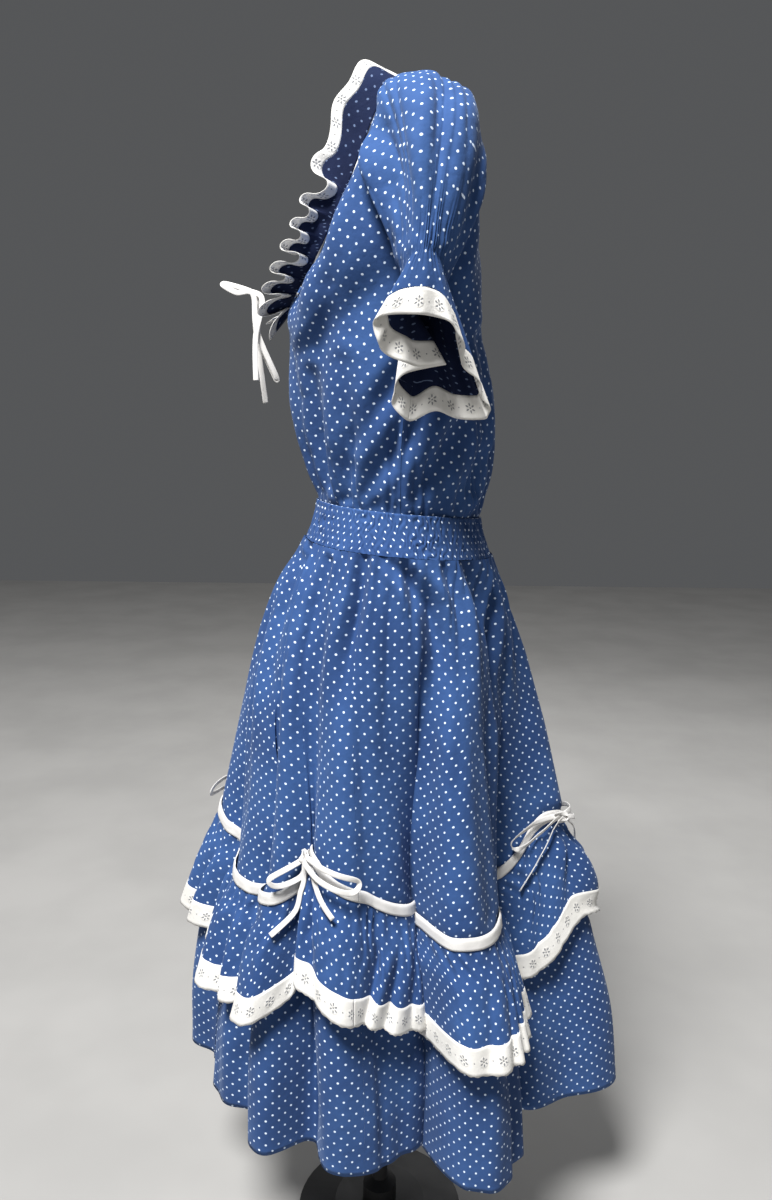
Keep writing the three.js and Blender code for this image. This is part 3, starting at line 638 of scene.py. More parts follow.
def skirtRelief(angle, z, plain):
    # gathers below the waistband, wider ones further down, and the listed folds; held back under the flounce
    drop = skirtDrop(angle, z)
    turn = angle / 360
    top = skirt["topDepth"] * np.exp(-drop / 0.07) * gathers(turn, drop, skirt["topGathers"], 3, 1.2)
    low = skirt["lowDepth"] * ease(drop / 0.08) * np.exp(-drop / 0.24) * gathers(
        turn, drop, skirt["lowGathers"], 11, 1.0)
    broad = skirt["broadDepth"] * ease(drop / 0.2) * ripple(turn, drop, 9, 26, 21, 0.9)
    hemmed = skirt["hemDepth"] * ease((drop - 0.72) / 0.2) * ripple(turn, drop * 0.4, 24, 52, 33, 0.3)
    relief = top + low + broad + hemmed + skirt["laidDepth"] * laidFolds(plain, skirtFolds)
    covered = ease((tapeZ(angle) + 16 - z) / 14) * (1 - ease((tapeZ(angle) - 108 - z) / 40))
    return relief * (1 - 0.9 * covered) - covered * 0.6


def patterned(spans, middles, seed):
    # which gore each span of columns is in, each gore's middle column, and where its pattern starts
    starts = np.random.RandomState(seed).uniform(0, 0.02, (len(middles), 2))
    return {"spans": spans, "middles": middles, "starts": starts}


def buildSkirt(side, start):
    # a grid of angle by height on the skirt's surface, raised by its relief along its normal, with the hem turned up
    angles = evenAngles(start, start + 180, skirt["columns"] + 1)
    down = np.linspace(0, 1, skirt["rows"])[:, None] ** 1.12
    z = mix(bandBottom(angles) - 0.3, hemZ(angles), down)
    spread = np.broadcast_to(angles, z.shape)
    plain = skirtPoint(spread, z)
    points = plain + normalsOf(plain, False) * skirtRelief(spread, z, plain)[..., None]
    inward, up = -normalsOf(points, False)[-1], np.array([0, 0, 1.0])
    turnedUp = [points[-1] + inward * 0.9 + up * rise for rise in (0.2, 3, 7, hem["turnUp"])]
    cut = mix(flatCut(plain), flatCut(points), skirt["hidden"])
    cut = np.concatenate([cut, np.repeat(cut[-1:], 4, 0)], 0)
    cut[-4:, :, 1] += np.array([0.1, 3, 7, hem["turnUp"]])[:, None]
    points = np.concatenate([points, np.stack(turnedUp)], 0)
    width = 180 / skirt["gores"]
    spans = np.minimum(((angles[:-1] - angles[0]) / width).astype(int), skirt["gores"] - 1)
    middles = [int(np.abs(angles - (angles[0] + width * (g + 0.5))).argmin()) for g in range(skirt["gores"])]
    return addPiece(f"skirt_{side}_cloth", f"skirt_{side}", "dotted_cotton", points, cut, cottonCloth,
                    gores=patterned(spans, middles, skirt["seeds"][side]))


# each sheet's area is measured and printed; a flat size with a few per cent to spare is worked out from it but not kept
skirtPieces = {}
for side, start in halves.items():
    skirtPieces[side], area = buildSkirt(side, start)
    round(area / skirt["drop"] / 0.97, 2)
    print(f"skirt {side}: {area:.3f} m2")

# flounce, its tape and its lace
flounce = {"drop": 121, "lace": 29, "stand": 24, "gather": 1.3, "columns": 560, "rows": 34, "laceRows": 9,
           "tapeRows": 7, "topGathers": 118, "lowGathers": 44, "headDepth": 10.5, "edgeDepth": 17.0, "tape": 13,
           "tapeOff": 3.9, "cloth": 1.6, "gores": 6, "scallops": 260, "seeds": {"back": 8, "front": 9}}


def clearOfSkirt(angle, z, distance):
    # radial distance that keeps a layer clear of the skirt where its folds run steeply
    here = skirtRadius(angle, skirtDrop(angle, z))
    after = skirtRadius(angle + 1, skirtDrop(angle + 1, z))
    return distance * np.hypot(1, (after - here) / (here * degree))


def overSkirt(angle, z, distance):
    # a point that far off the skirt along the skirt's own normal
    along = skirtPoint(angle + 0.5, z) - skirtPoint(angle - 0.5, z)
    out = np.cross(along, skirtPoint(angle, z + 2) - skirtPoint(angle, z - 2))
    return skirtPoint(angle, z) + out * (distance / np.linalg.norm(out, axis=-1))[..., None]


def flounceOut(angle, z):
    # how far the flounce stands off the skirt: more towards its edge, as a power of the way down
    down = np.maximum(0, (tapeZ(angle) - flounce["tape"] / 2 - z) / flounce["drop"])
    return clearOfSkirt(angle, z, flounce["cloth"] + 1.2) + 2 * flounce["gather"] + flounce["stand"] * down ** 0.8


def flouncePoints(angles, downs, depth=1.0):
    # the flounce hangs from under the tape: fine gathers at its head open into wide waves at its edge
    angle = np.broadcast_to(angles, (len(downs), len(angles)))
    down = np.broadcast_to(np.asarray(downs)[:, None], angle.shape)
    z = tapeZ(angle) - flounce["tape"] / 2 - 0.3 - down * flounce["drop"]
    turn = angle / 360
    fine = flounce["headDepth"] * ease(down / 0.08) * np.exp(-np.abs(down) / 0.42) * gathers(
        turn, down, flounce["topGathers"], 31, 0.8)
    wide = flounce["edgeDepth"] * ease(down / 0.5) * gathers(turn, down * 0.5, flounce["lowGathers"], 37, 0.5)
    head = overSkirt(angle, z, 2.6 + depth * np.maximum(fine, -0.8))
    out = flounceOut(angle, z) - 1.0 + depth * (fine + wide)
    hanging = skirtPoint(angle, z, np.maximum(out, clearOfSkirt(angle, z, 2.2)))
    points = mix(head, hanging, ease((down - 0.02) / 0.3)[..., None])
    scallop = 0.6 * np.sin(2 * math.pi * turn * flounce["scallops"]) * (down > 0.98)
    return points + joined(0, 0, scallop)


def buildFlounce(side, start):
    # the cloth ends where the lace starts; the tape follows the swags, its upper edge drawn in to the skirt
    angles = evenAngles(start, start + 180, flounce["columns"] + 1)
    seam = 1 - flounce["lace"] / flounce["drop"]
    falls = np.linspace(-0.06, seam + 0.004, flounce["rows"])
    cloth = flouncePoints(angles, falls)
    cut = mix(flatCut(flouncePoints(angles, falls, 0.0)) * [1.25, 1], flatCut(cloth), 0.4)
    count = flounce["gores"]
    width = len(angles) // count + 1
    gores = patterned(np.minimum(np.arange(len(angles) - 1) // width, count - 1),
                      [width // 2 + width * g for g in range(count)], flounce["seeds"][side])
    made = [addPiece(f"flounce_{side}_cloth", f"flounce_{side}", "dotted_cotton", cloth, cut, cottonCloth, gores=gores)]
    edge = flouncePoints(angles, np.linspace(seam, 1, flounce["laceRows"]))
    edge = edge + normalsOf(edge, False) * 0.5
    made.append(addPiece(f"flounce_{side}_edging", f"flounce_lace_{side}", "white_lace", edge,
                         edgingCut(edge, flounce["lace"]), flounceEyelet, wall=0.0007))
    rows = np.linspace(-0.5, 0.5, flounce["tapeRows"])[:, None]
    spread = np.broadcast_to(angles, (flounce["tapeRows"], len(angles)))
    high = tapeZ(angles) - rows * (flounce["tape"] + 0.8)
    pucker = 0.7 * gathers(spread / 360, rows, flounce["topGathers"] // 2, 45, 0.2)
    tape = overSkirt(spread, high, flounce["tapeOff"] - 1.9 * np.maximum(-2 * rows, 0) ** 5 + pucker)
    made.append(addPiece(f"flounce_{side}_tape", f"flounce_tape_{side}", "white_tape", tape, flatCut(tape), whiteTwill,
                         wall=0.0007))
    return made


for side, start in halves.items():
    (cloth, clothArea), (trim, trimArea), (band, bandArea) = buildFlounce(side, start)
    round(clothArea / 0.094, 2)
    round(trimArea / 0.0285, 2)
    round(bandArea / 0.0128, 2)
    print(f"flounce {side}: cloth {clothArea:.3f}, lace {trimArea:.3f}, tape {bandArea:.4f} m2")

# waistband
band = {"columns": 760, "rows": 24, "ribs": 124, "ribDepth": 2.8, "gathered": 1.7, "height": 0.046}


def buildBand(side, start):
    # an ellipse that flares downwards, with upright ribs that make its edges wavy too
    angles = np.linspace(start, start + 180, band["columns"] + 1)
    down = np.linspace(0, 1, band["rows"])[:, None]
    angle = np.broadcast_to(angles, (band["rows"], len(angles)))
    flare = waist["flare"] * down ** 1.4
    radius = ellipseRadius(waist["halfWidth"] + flare, waist["halfDepth"] + flare, angle)
    z = tilted(waist, mix(waist["topZ"], waist["bottomZ"], down), angle)
    turn = angle / 360
    ribs = band["ribDepth"] * gathers(turn, down, band["ribs"], 41, 1.4)
    z = z + (1.2 * down - 0.6) * gathers(turn, down, band["ribs"] // 2, 47, 0.4)

    def ring(r):
        # rows of points with one more row on top, turned in
        points = joined(r * np.cos(angle * degree), waist["centreY"] + r * np.sin(angle * degree), z)
        return np.concatenate([(points[0] * [0.985, 0.985, 1] + [0, 0.2, 0.4])[None], points], 0)
    points = ring(radius - 0.9 + ribs)
    middle = len(angles) // 2
    cut = mix(flatCut(ring(radius), middle) * [band["gathered"], 1], flatCut(points, middle), 0.35)
    return addPiece(f"waistband_{side}_cloth", f"waistband_{side}", "dotted_cotton", points, cut, cottonCloth)


for side, start in halves.items():
    piece, area = buildBand(side, start)
    round(area / band["height"] / 0.95, 2)
    print(f"waistband {side}: {area:.4f} m2")

# blouse body
blouse = {"columns": 220, "rows": 150, "necklineCurve": 1.45, "waistDepth": 5.2, "waistGathers": 46, "broadDepth": 1.3,
          "neckDepth": 2.2, "neckGathers": 84, "laidDepth": 1.5}
frontRows = [  # where a row ends at the side, and where it crosses the middle: edgeX, edgeY, edgeZ, midY, midZ
    (112, -6, 1352, -110, 1167), (150, -16, 1318, -112, 1153), (168, -25, 1272, -113, 1137),
    (172, -6, 1228, -112, 1119), (168, 29.8, 1198, -111, 1098), (164, 25.8, 1130, -108, 1060),
    (153, 17.8, 1060, -102, 1024), (139, 13.8, 1000, -92, 992), (130, 13.8, 958, -84, 966),
    (124, 13.8, 940, -78.5, 950), (123, 13.8, 918, -77.5, 926),
]
backRows = [
    (112, 50, 1346, 90, 1246), (146, 72, 1316, 92, 1220), (164, 83, 1268, 94, 1188), (171, 68, 1225, 99, 1148),
    (168, 30.2, 1198, 110, 1106), (164, 26.2, 1130, 118, 1064), (153, 18.2, 1060, 121, 1024),
    (139, 14.2, 1000, 118, 984), (130, 14.2, 956, 111, 946), (124, 14.2, 938, 106.5, 928), (123, 14.2, 916, 105.5, 905),
]
blouseFolds = {"left": [
    [(-64, 1160, 1, 8), (-72, 1110, 5, 10), (-76, 1060, 6, 11), (-74, 1010, 4, 9), (-70, 965, 2, 6)],
    [(88, 1120, 2, 8), (52, 1070, 5, 10), (18, 1020, 6, 10), (-10, 985, 4, 8), (-24, 962, 2, 5)],
    [(60, 1130, 2, 7), (26, 1090, 4, 9), (-6, 1050, 4, 9), (-28, 1015, 2, 8)],
    [(96, 1060, 3, 8), (66, 1015, 5, 9), (40, 975, 4, 7), (28, 955, 2, 5)],
    [(-46, 1090, 2, 7), (-44, 1040, 4, 8), (-42, 985, 4, 7), (-42, 955, 2, 4)],
    [(104, 1000, 3, 7), (86, 965, 4, 6), (76, 946, 2, 4)],
], "right": [
    [(-62, 1150, 1, 8), (-68, 1090, 5, 10), (-66, 1030, 6, 11), (-62, 970, 3, 7)],
    [(84, 1110, 2, 8), (56, 1060, 5, 10), (26, 1010, 5, 10), (4, 970, 3, 7)],
    [(96, 1050, 3, 8), (74, 1005, 5, 9), (58, 962, 3, 6)],
    [(-36, 1080, 2, 7), (-30, 1020, 4, 8), (-26, 965, 3, 6)],
], "front": [
    [(-52, 1120, 1, 8), (-46, 1060, 5, 11), (-36, 1005, 5, 10), (-32, 962, 3, 5)],
    [(50, 1120, 1, 8), (56, 1060, 5, 11), (48, 1000, 5, 9), (42, 962, 3, 5)],
    [(4, 1110, 1, 9), (2, 1050, 4, 11), (6, 990, 4, 8)],
    [(-98, 1090, 2, 7), (-84, 1030, 4, 9), (-74, 975, 3, 6)],
    [(96, 1080, 2, 7), (86, 1020, 4, 9), (80, 968, 3, 6)],
], "back": [
    [(-70, 1190, 1, 8), (-62, 1110, 4, 12), (-50, 1030, 5, 11), (-44, 950, 3, 5)],
    [(40, 1180, 1, 8), (46, 1100, 4, 12), (38, 1020, 5, 11), (36, 945, 3, 5)],
    [(-4, 1150, 1, 9), (-8, 1080, 3, 12), (-6, 990, 4, 9), (-4, 940, 2, 5)],
    [(100, 1120, 2, 8), (88, 1040, 4, 9), (78, 965, 3, 6)],
    [(-104, 1120, 2, 8), (-94, 1040, 4, 9), (-84, 965, 3, 6)],
]}


def blousePoints(rows, facing, columns, lines):
    # each row runs from side to side: x by the sine of its turn, y and z by the cosine
    rows = np.array(rows, float)
    places = np.arange(len(rows))
    edgeX, edgeY, edgeZ, midY, midZ = (
        through(list(zip(places, rows[:, k])), lines)[:, None] for k in range(5))
    turn = (columns * 2 - 1) * 90 * degree
    cosine = np.cos(turn)
    return joined(facing * edgeX * np.sin(turn), mix(edgeY, midY, cosine),
                  mix(midZ, edgeZ, (1 - cosine) ** blouse["necklineCurve"]))


def buildBlouse(side, rows, facing, seed):
    # the plain shape raised along its normal by gathers above the waist and at the neck, broad waves and laid folds
    lines = np.linspace(0, len(rows) - 1, blouse["rows"])
    columns = np.linspace(0, 1, blouse["columns"] + 1)
    plain = blousePoints(rows, facing, columns, lines)
    down = (lines / (len(rows) - 1))[:, None]
    z = plain[..., 2]
    turn = columns[None, :] * 0.5 + (0 if facing > 0 else 0.5)
    low = ease((1075 - z) / 110) * (0.5 + 0.5 * ease((z - 925) / 26))
    relief = blouse["waistDepth"] * low * gathers(turn, down, blouse["waistGathers"], seed, 0.7)
    relief += blouse["broadDepth"] * ripple(turn, down * 2, 4, 16, seed + 3, 0.8)
    relief += blouse["neckDepth"] * np.exp(-down / 0.05) * gathers(turn, down, blouse["neckGathers"], seed + 5, 0.4)
    relief += blouse["laidDepth"] * laidFolds(plain, blouseFolds, ("left", "right", side))
    relief = np.where(relief > 0, relief * 0.8, relief)
    relief = relief * ease((z - 912) / 30) * ease(np.minimum(columns, 1 - columns) / 0.02)[None]
    points = plain + normalsOf(plain, False) * relief[..., None]
    middle = blouse["columns"] // 2
    flat = flatCut(plain, middle, -1)
    cut = settled(plain, flat) + 0.4 * (flatCut(points, middle, -1) - flat)
    return addPiece(f"blouse_{side}_cloth", f"bodice_{side}", "dotted_cotton", points, cut, cottonCloth)


for side, rows, facing, seed in (("front", frontRows, 1, 51), ("back", backRows, -1, 61)):
    piece, area = buildBlouse(side, rows, facing, seed)
    round(area / 0.97, 4)
    print(f"blouse {side}: {area:.4f} m2")

# sleeves
elastic = {"x": 204, "y": 31, "z": 1158, "halfWidth": 34, "halfDepth": 19, "tilt": 22}
sleeve = {"columns": 260, "rows": 86, "ruffleRows": 40, "fallRows": 24, "lace": 24, "laceRows": 9, "headDepth": 2.0,
          "cuffDepth": 5.0, "bodyDepth": 4.0, "broadDepth": 2.4, "fanDepth": 2.6, "edgeDepth": 2.2}
armhole = np.array([
    (108, 22, 1357), *[row[:3] for row in backRows[:4]], (168, 30, 1198), *[row[:3] for row in frontRows[:4]][::-1],
], float) + [1, 0, 0.4]
# the sleeve ruffle's edge, from the outer side round by the back, the inside and the front, where it folds back
ruffleEdge = [
    (236, 24, 1124), (231, 54, 1118), (214, 71, 1092), (198, 87, 1058), (187, 97, 1037), (181, 70, 1035),
    (180, 46, 1042), (181, 20, 1033), (186, 3, 1052), (192, 16, 1076), (203, 54, 1084), (213, 22, 1082),
    (219, -8, 1096), (230, -10, 1121),
]


def elasticPoints(turn):
    # an ellipse, higher at the outer side
    outward = np.cos(turn)
    return joined(elastic["x"] + elastic["halfWidth"] * outward, elastic["y"] + elastic["halfDepth"] * np.sin(turn),
                  elastic["z"] + elastic["tilt"] * outward)


def puffPoints(share, t):
    # each column leaves the armhole outwards, swells and comes down to the elastic, along a cubic Bezier curve
    turn = 2 * math.pi * share
    start, end = curveThrough(armhole, share), elasticPoints(turn)
    outward, under, side = np.maximum(0, np.cos(turn)), np.maximum(0, -np.cos(turn)), np.sin(turn)
    back = side > 0
    leave = start + joined(36 + 40 * outward - 22 * under, np.where(back, 12, 18) * side + 14 * outward,
                           8 + 8 * outward - 12 * under)
    arrive = end + joined(8 + 12 * outward, np.where(back, 28, 2) * side + 16 * outward,
                          62 + 78 * outward - 35 * under)
    t = t[:, None, None]
    return (1 - t) ** 3 * start + 3 * t * (1 - t) ** 2 * leave + 3 * t * t * (1 - t) * arrive + t ** 3 * end


sleeveFolds = {"left": [
    [(44, 1352, 0, 5), (47, 1316, 6, 6), (46, 1260, 10, 8), (42, 1210, 7, 7), (38, 1182, 1, 6)],
    [(-8, 1344, 2, 9), (-9, 1300, 13, 13), (-3, 1245, 13, 12), (9, 1200, 4, 8)],
    [(72, 1330, 0, 5), (71, 1290, 5, 7), (62, 1240, 6, 7), (50, 1196, 3, 4)],
    [(18, 1262, 1, 4), (21, 1230, 4, 4), (26, 1190, 3, 3)],
]}


def buildSleeve(side, way, seed):
    # the puff is raised along its normal by gathers at both ends, soft folds between and the laid ones
    share = np.linspace(0, 1, sleeve["columns"] + 1) + 0.5
    t = np.linspace(0, 1, sleeve["rows"])
    plain = puffPoints(share % 1.0, t)
    s, d = np.broadcast_arrays(share[None, :], t[:, None])
    swell = np.sin(math.pi * d)
    head = sleeve["headDepth"] * np.exp(-d / 0.08) * gathers(s, d, 40, seed, 0.8)
    cuff = sleeve["cuffDepth"] * np.exp(-(1 - d) / 0.06) * gathers(s, d, 44, seed + 2, 0.6)
    body = sleeve["bodyDepth"] * swell ** 0.7 * gathers(s, d * 0.6, 15, seed + 4, 0.6)
    broad = sleeve["broadDepth"] * swell * ripple(s, d, 2, 7, seed + 6, 0.4)
    relief = head + cuff + body + broad + laidFolds(plain, sleeveFolds, ["left"]) * swell ** 0.25
    relief = np.where(relief > 0, relief * 0.8, relief)
    puff = plain + normalsOf(plain, True) * relief[..., None]
    # the ruffle fans from the elastic to its folded edge, gathered at its head
    r = np.linspace(0, 1, sleeve["ruffleRows"])
    edge = curveThrough(ruffleEdge, share % 1.0)
    start = elasticPoints(2 * math.pi * share)
    ruffle = start + (edge - start) * r[:, None, None]
    s, d = np.broadcast_arrays(share[None, :], r[:, None])
    waves = sleeve["fanDepth"] * np.exp(-d / 0.22) * gathers(s, d, 44, seed + 2, 0.6)
    waves += sleeve["edgeDepth"] * d * ripple(s, d * 0.4, 6, 17, seed + 9, 0.3)
    ruffle = ruffle + normalsOf(ruffle, True) * waves[..., None]
    laceStart = 1 - sleeve["lace"] / np.linalg.norm(edge - start, axis=-1)

    def partOfRuffle(low, high, rows):
        # the ruffle between two shares of its fall, resampled by rows
        want = low + (high - low) * np.linspace(0, 1, rows)[:, None]
        spot = want * (len(r) - 1)
        below = np.clip(spot.astype(int), 0, len(r) - 2)
        column = np.arange(ruffle.shape[1])[None, :]
        return mix(ruffle[below, column], ruffle[below + 1, column], (spot - below)[..., None])
    fall = partOfRuffle(0 * laceStart, laceStart + 0.01, sleeve["fallRows"])
    trim = partOfRuffle(laceStart, 1 + 0 * laceStart, sleeve["laceRows"])
    flip = np.array([way, 1, 1.0])
    cloth, trim = np.concatenate([puff[:-1], fall], 0) * flip, trim * flip
    smooth = np.concatenate([plain[:-1], fall[:1]], 0) * flip
    middle, level = sleeve["columns"] // 2, len(puff) - 1
    upper, lower = settled(smooth, flatCut(smooth, middle, level)), flatCut(cloth[level:], middle)
    cut = np.concatenate([upper[:-1], lower + upper[-1:] - lower[:1]], 0) * [1.15, 1]
    return (addPiece(f"sleeve_{side}_cloth", f"sleeve_{side}", "dotted_cotton", cloth, cut, cottonCloth,
                     wrong=shadedCottonBack, wall=0.0005, outward=way > 0),
            addPiece(f"sleeve_{side}_edging", f"sleeve_lace_{side}", "white_lace", trim,
                     edgingCut(trim, sleeve["lace"]), sleeveEyelet, wall=0.0007, outward=way > 0))


for side, way, seed in (("left", 1, 71), ("right", -1, 81)):
    (cloth, clothArea), (edging, edgingArea) = buildSleeve(side, way, seed)
    round(clothArea / 0.97, 4)
    round(edgingArea / 0.0235, 2)
    print(f"sleeve {side}: cloth {clothArea:.4f}, lace {edgingArea:.4f} m2")

# neck ruffle
neck = {"width": 33, "lace": 13, "columns": 1080, "rows": 17, "laceRows": 6, "rise": 1.2, "frontWave": 27.0,
        "backWave": 44.0, "swing": 1.72, "sway": 2.5, "turnOut": 1.25}
shoulder = (108.0, 22.0, 1357.0)
# the way the ruffle leans, by the angle from the shoulder: forwards is negative
leanRows = {
    "x": [(-90, 0), (-72, -0.1), (-58, -0.15), (-42, -0.2), (-30, -0.2), (-19, -0.2), (-8, -0.3), (12, -0.5),
          (35, -0.35), (90, 0)],
    "y": [(-90, -0.5), (-72, -0.85), (-58, -0.9), (-42, -0.92), (-30, -0.9), (-19, -0.86), (-8, -0.75), (12, -0.45),
          (35, 0.0), (90, 0.15)],
    "z": [(-90, -0.7), (-72, -0.2), (-58, 0.1), (-42, 0.2), (-30, 0.36), (-19, 0.5), (-8, 0.58), (12, 0.66),
          (35, 0.9), (90, 0.98)],
}


def necklinePoints(share):
    # the neckline's loop: front edge from the wearer's right to left, left shoulder, back edge, right shoulder
    columns = np.linspace(0, 1, 23)[1::3]
    front = blousePoints(frontRows, 1, columns, np.array([0.0]))[0]
    back = blousePoints(backRows, -1, columns, np.array([0.0]))[0]
    loop = np.concatenate([front, [shoulder], back, [(-shoulder[0], shoulder[1], shoulder[2])]])
    fine = curveThrough(loop, np.linspace(0, 1, 2000, endpoint=False))
    closed = np.concatenate([fine, fine[:1]])
    length = runningLength(closed)
    return joined(*(np.interp(share, length / length[-1], closed[:, k]) for k in range(3))), length[-1]


def neckPoints(share, distances):
    # The ruffle leaves the neckline flat. Towards its edge it winds like ribbon: the edge's heading swings to and fro
    # by a sine, which draws even loops. The lace then turns to face outwards.
    base, loopLength = necklinePoints(share)
    angle = np.arctan2(base[:, 1] - shoulder[1], np.abs(base[:, 0])) / degree
    lean = unit(joined(np.sign(base[:, 0]) * through(leanRows["x"], angle), through(leanRows["y"], angle),
                       through(leanRows["z"], angle)))
    tangent = np.roll(base, -1, 0) - np.roll(base, 1, 0)
    tangent[0], tangent[-1] = base[1] - base[0], base[-1] - base[-2]
    tangent = unit(tangent)
    across = unit(np.cross(tangent, lean))
    front = ease((-angle - 24) / 14)
    spacing = mix(neck["backWave"], neck["frontWave"], front)
    spacing *= 1 - 0.24 * np.tanh(ripple(share, 0 * share, 3, 13, 91, 0))
    density = loopLength / spacing
    phase = np.concatenate([[0], np.cumsum((density[1:] + density[:-1]) / 2 * np.diff(share))])
    phase = 2 * math.pi * phase * round(phase[-1]) / phase[-1]
    wave = np.linspace(0, 2 * math.pi, 721)
    heading = neck["swing"] * np.sin(wave)
    forward, aside = np.cumsum(np.cos(heading)) * wave[1], np.cumsum(np.sin(heading)) * wave[1]
    reached = forward[-1]
    forward, aside = forward / reached - wave / (2 * math.pi), (aside - aside.max()) / reached
    size = spacing * mix(0.14, 0.92 + 0.2 * np.tanh(ripple(share, 0 * share, 5, 15, 95, 0)), front)
    curl, short = ((size * np.interp(phase % (2 * math.pi), wave, course))[:, None] for course in (forward, aside))
    sway = (neck["sway"] * np.sin(phase) * front)[:, None]
    turned = unit(joined(np.tanh(base[:, 0] / 30), 0, 0) * (neck["turnOut"] * front)[:, None] + lean)
    far = ease(distances / neck["width"])[:, None, None]
    cloth = np.minimum(distances, neck["width"])[:, None, None]
    beyond = (distances - neck["width"]).clip(0)[:, None, None]
    return base + lean * (cloth + short * far) + turned * beyond + across * sway * far + tangent * curl * far


def buildNeck():
    # closed strips round the neckline; the ruffle's cut is as long as its edge
    share = np.linspace(0, 1, neck["columns"] + 1)
    cloth = neckPoints(share % 1.0, np.linspace(neck["rise"], neck["width"] + 0.5, neck["rows"]))
    trim = neckPoints(share % 1.0, np.linspace(neck["width"], neck["width"] + neck["lace"], neck["laceRows"]))
    cloth[:, -1], trim[:, -1] = cloth[:, 0], trim[:, 0]
    strip = flatCut(cloth[::-1])
    strip[..., 0] = strip[:1, :, 0]
    return (addPiece("neck_ruffle_cloth", "neck_ruffle", "dotted_cotton", cloth[::-1], strip, cottonCloth,
                     wrong=shadedCottonBack, wall=0.0005, outward=False),
            addPiece("neck_ruffle_edging", "neck_lace", "white_lace", trim[::-1], edgingCut(trim, neck["lace"])[::-1],
                     neckEyelet, wall=0.0006, outward=False))


(cloth, clothArea), (edging, edgingArea) = buildNeck()
round(clothArea / 0.032, 2)
round(edgingArea / 0.0125, 2)
print(f"neck ruffle: cloth {clothArea:.4f}, lace {edgingArea:.4f} m2")

# bows and neck tie
bow = {"width": 6.4, "thick": 1.3, "steps": 160, "knotWidth": 6.0, "knotThick": 2.0, "knotSteps": 40, "clear": 2.5}
bowAngles = [("front", -115), ("left", -29), ("back", 89), ("right", 166)]
bowPath = [  # across, up and out from the knot
    (28, -49, 4), (16, -22, 3), (3, 0, 2.5), (-18, -2, 4), (-38, -20, 6), (-34, -31, 6), (-16, -16, 5.5), (1, 2, 6),
    (22, 1, 7), (42, -11, 9), (37, -21, 10), (16, -9, 9.5), (-2, -2, 9.5), (-18, -38, 8), (-36, -82, 5),
]
bowKnot = [(-3.6, 4.4, 4.5), (-1.2, 4.9, 9.4), (1.0, 3.0, 12.4), (1.4, -1.5, 12.6), (0.4, -5, 9.6), (-1.6, -5.4, 4.0)]
neckTie = [  # across, up and out from the knot
    (11, -98, 12), (9, -50, 12), (3, -8, 5), (-3, 3, 20), (-2, 10, 45), (3, 8, 49), (4, 0, 34), (5, -2, 15),
    (5, -42, 11), (1, -92, -10), (-4, -88, -6), (-4, -42, 13), (-4, -3, 11), (-9, -50, 12), (-11, -122, 4),
]
neckKnot = np.array([0.0, -140.0, 1181.0])


def tapeAlong(line, out, width, thick, around=10):
    # a flat tape with rounded edges carried along a line; its face looks towards out
    tangent = unit(np.gradient(line, axis=0))
    wide = unit(np.cross(tangent, out))
    face = np.cross(wide, tangent)
    turn = np.linspace(0, 2 * math.pi, around + 1)
    x = np.sign(np.cos(turn)) * np.abs(np.cos(turn)) ** 0.6 * width / 2
    y = np.sign(np.sin(turn)) * np.abs(np.sin(turn)) ** 0.8 * thick / 2
    points = line[:, None] + wide[:, None] * x[None, :, None] + face[:, None] * y[None, :, None]
    closing = np.stack([np.repeat(line[:1], around + 1, 0), *points, np.repeat(line[-1:], around + 1, 0)])
    return closing, joined(np.pad(runningLength(line), 1, "edge")[:, None], x + width / 2)


def addTape(name, parts, node):
    # one or more swept tapes in one piece
    objects = [addSurface(name if k == 0 else f"{name}_{k}", points, cut * mm, whiteTwill)
               for k, (points, cut) in enumerate(parts)]
    if len(objects) > 1:
        bpy.ops.object.select_all(action="DESELECT")
        for item in objects:
            item.select_set(True)
        bpy.context.view_layer.objects.active = objects[0]
        bpy.ops.object.join()
    finishPiece(objects[0], node)


def buildBow(side, angle):
    # the bow's path is bent round the skirt and laid on the flounce; the knot wraps it
    radius = float(np.hypot(*skirtPoint(np.array(angle * 1.0), tapeZ(angle))[:2]))
    out = np.array([math.cos(angle * degree), math.sin(angle * degree), 0.25])
    across = np.array([math.sin(angle * degree), -math.cos(angle * degree), 0.0])

    def lay(path, steps):
        path = curveThrough(path, np.linspace(0, 1, steps), closed=False)
        here = angle + path[:, 0] / radius / degree
        z = tapeZ(angle) + path[:, 1]
        return skirtPoint(here, z, flounceOut(here, z) + path[:, 2] + bow["clear"])
    knotOut = np.cross(across, [0, 0, 1.0]) + 0.3 * out
    addTape(f"bow_{side}_tape", [
        tapeAlong(lay(bowPath, bow["steps"]), out, bow["width"], bow["thick"]),
        tapeAlong(lay(bowKnot, bow["knotSteps"]), knotOut, bow["knotWidth"], bow["knotThick"])], f"bow_{side}")


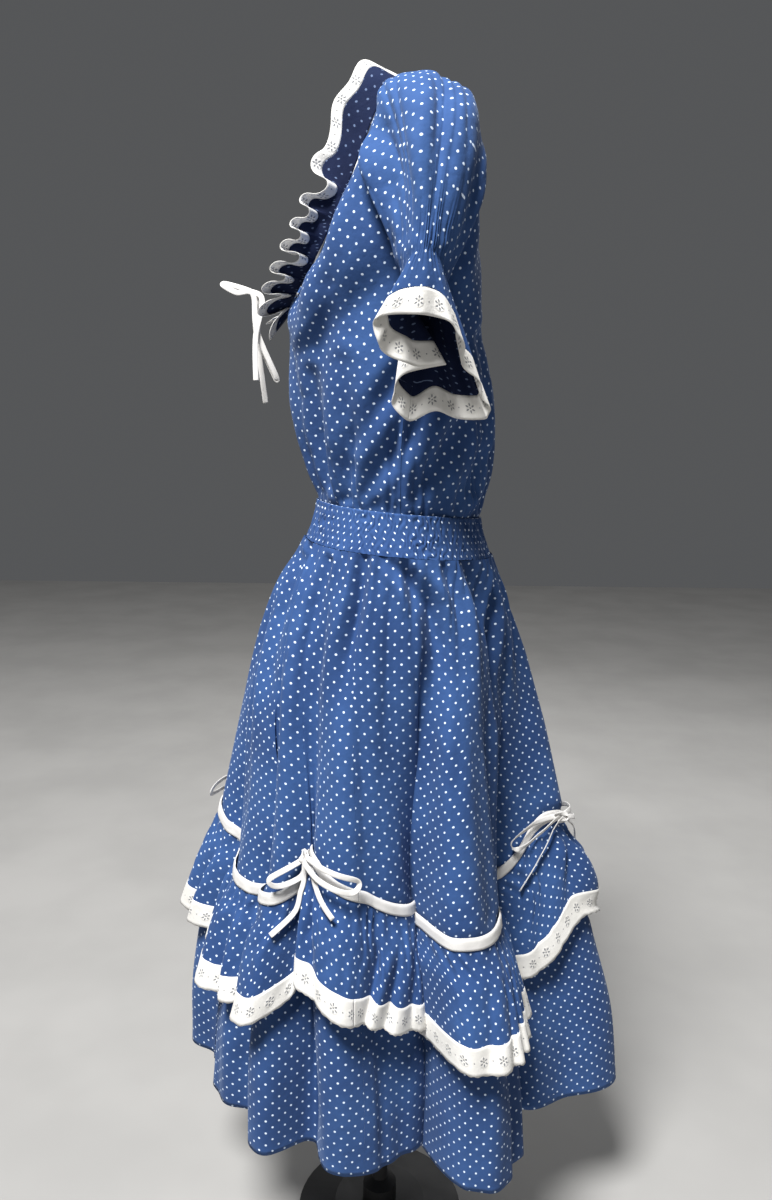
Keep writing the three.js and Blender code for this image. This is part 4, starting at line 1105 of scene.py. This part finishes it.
for side, angle in bowAngles:
    buildBow(side, angle)
tieLine = curveThrough([(x, -out, up) for x, up, out in neckTie], np.linspace(0, 1, bow["steps"] * 2), closed=False)
addTape("neck_tie_tape", [tapeAlong(tieLine + neckKnot, np.array([1.0, 0, 0.2]), 6.2, 1.3)], "neck_tie")
print("bows and neck tie laid")

# dress form and stand
formRows = [  # z, half width, front, back
    (752, 110, -80, 98), (768, 120, -90, 106), (830, 121, -90, 108), (895, 112, -73, 98), (930, 109, -68, 95),
    (1000, 124, -78, 102), (1080, 144, -94, 100), (1150, 150, -94, 86), (1205, 148, -86, 81), (1260, 138, -60, 76),
    (1300, 116, -40, 68), (1328, 80, -26, 58), (1345, 52, -20, 52), (1372, 45, -24, 48),
]


def buildForm():
    # an ellipse at each height, closed below and above by rings that shrink to a point, the upper ones domed
    rows = np.array(formRows, float)
    z = np.linspace(rows[0, 0], rows[-1, 0], 80)[:, None]
    width, front, back = (through(list(zip(rows[:, 0], rows[:, k])), z) for k in (1, 2, 3))
    turn = np.linspace(0, 2 * math.pi, 73)

    def ring(row, size=1.0, rise=0.0):
        middle, depth = (front[row] + back[row]) / 2, (back[row] - front[row]) / 2
        return joined(width[row] * np.cos(turn) * size, middle + depth * np.sin(turn) * size, z[row] + rise)
    low = [ring(0, size) for size in (0.0, 0.5, 0.97)]
    high = [ring(-1, size, 6 * (1 - size ** 2)) for size in (0.97, 0.7, 0.35, 0.0)]
    points = np.stack([*low, *(ring(row) for row in range(len(z))), *high])[::-1]
    addPiece("form_torso_cover", "form_torso", "form_jersey", points, flatCut(points), jersey)


def paintNode(name, material):
    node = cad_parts[name]
    node.data.materials.clear()
    node.data.materials.append(material)


buildForm()
paintNode("form_base", paint)
paintNode("form_pole", paint)
print("form and stand finished")


def addFloor():
    mesh = bpy.data.meshes.new("floor")
    reach, low = studio["floorReach"], -studio["floorGap"]
    corners = [(-reach, -reach, low), (reach, -reach, low), (reach, reach, low), (-reach, reach, low)]
    mesh.from_pydata(corners, [], [(0, 1, 2, 3)])
    mesh.materials.append(plainLook("pale floor"))
    placed("floor", mesh)


addFloor()
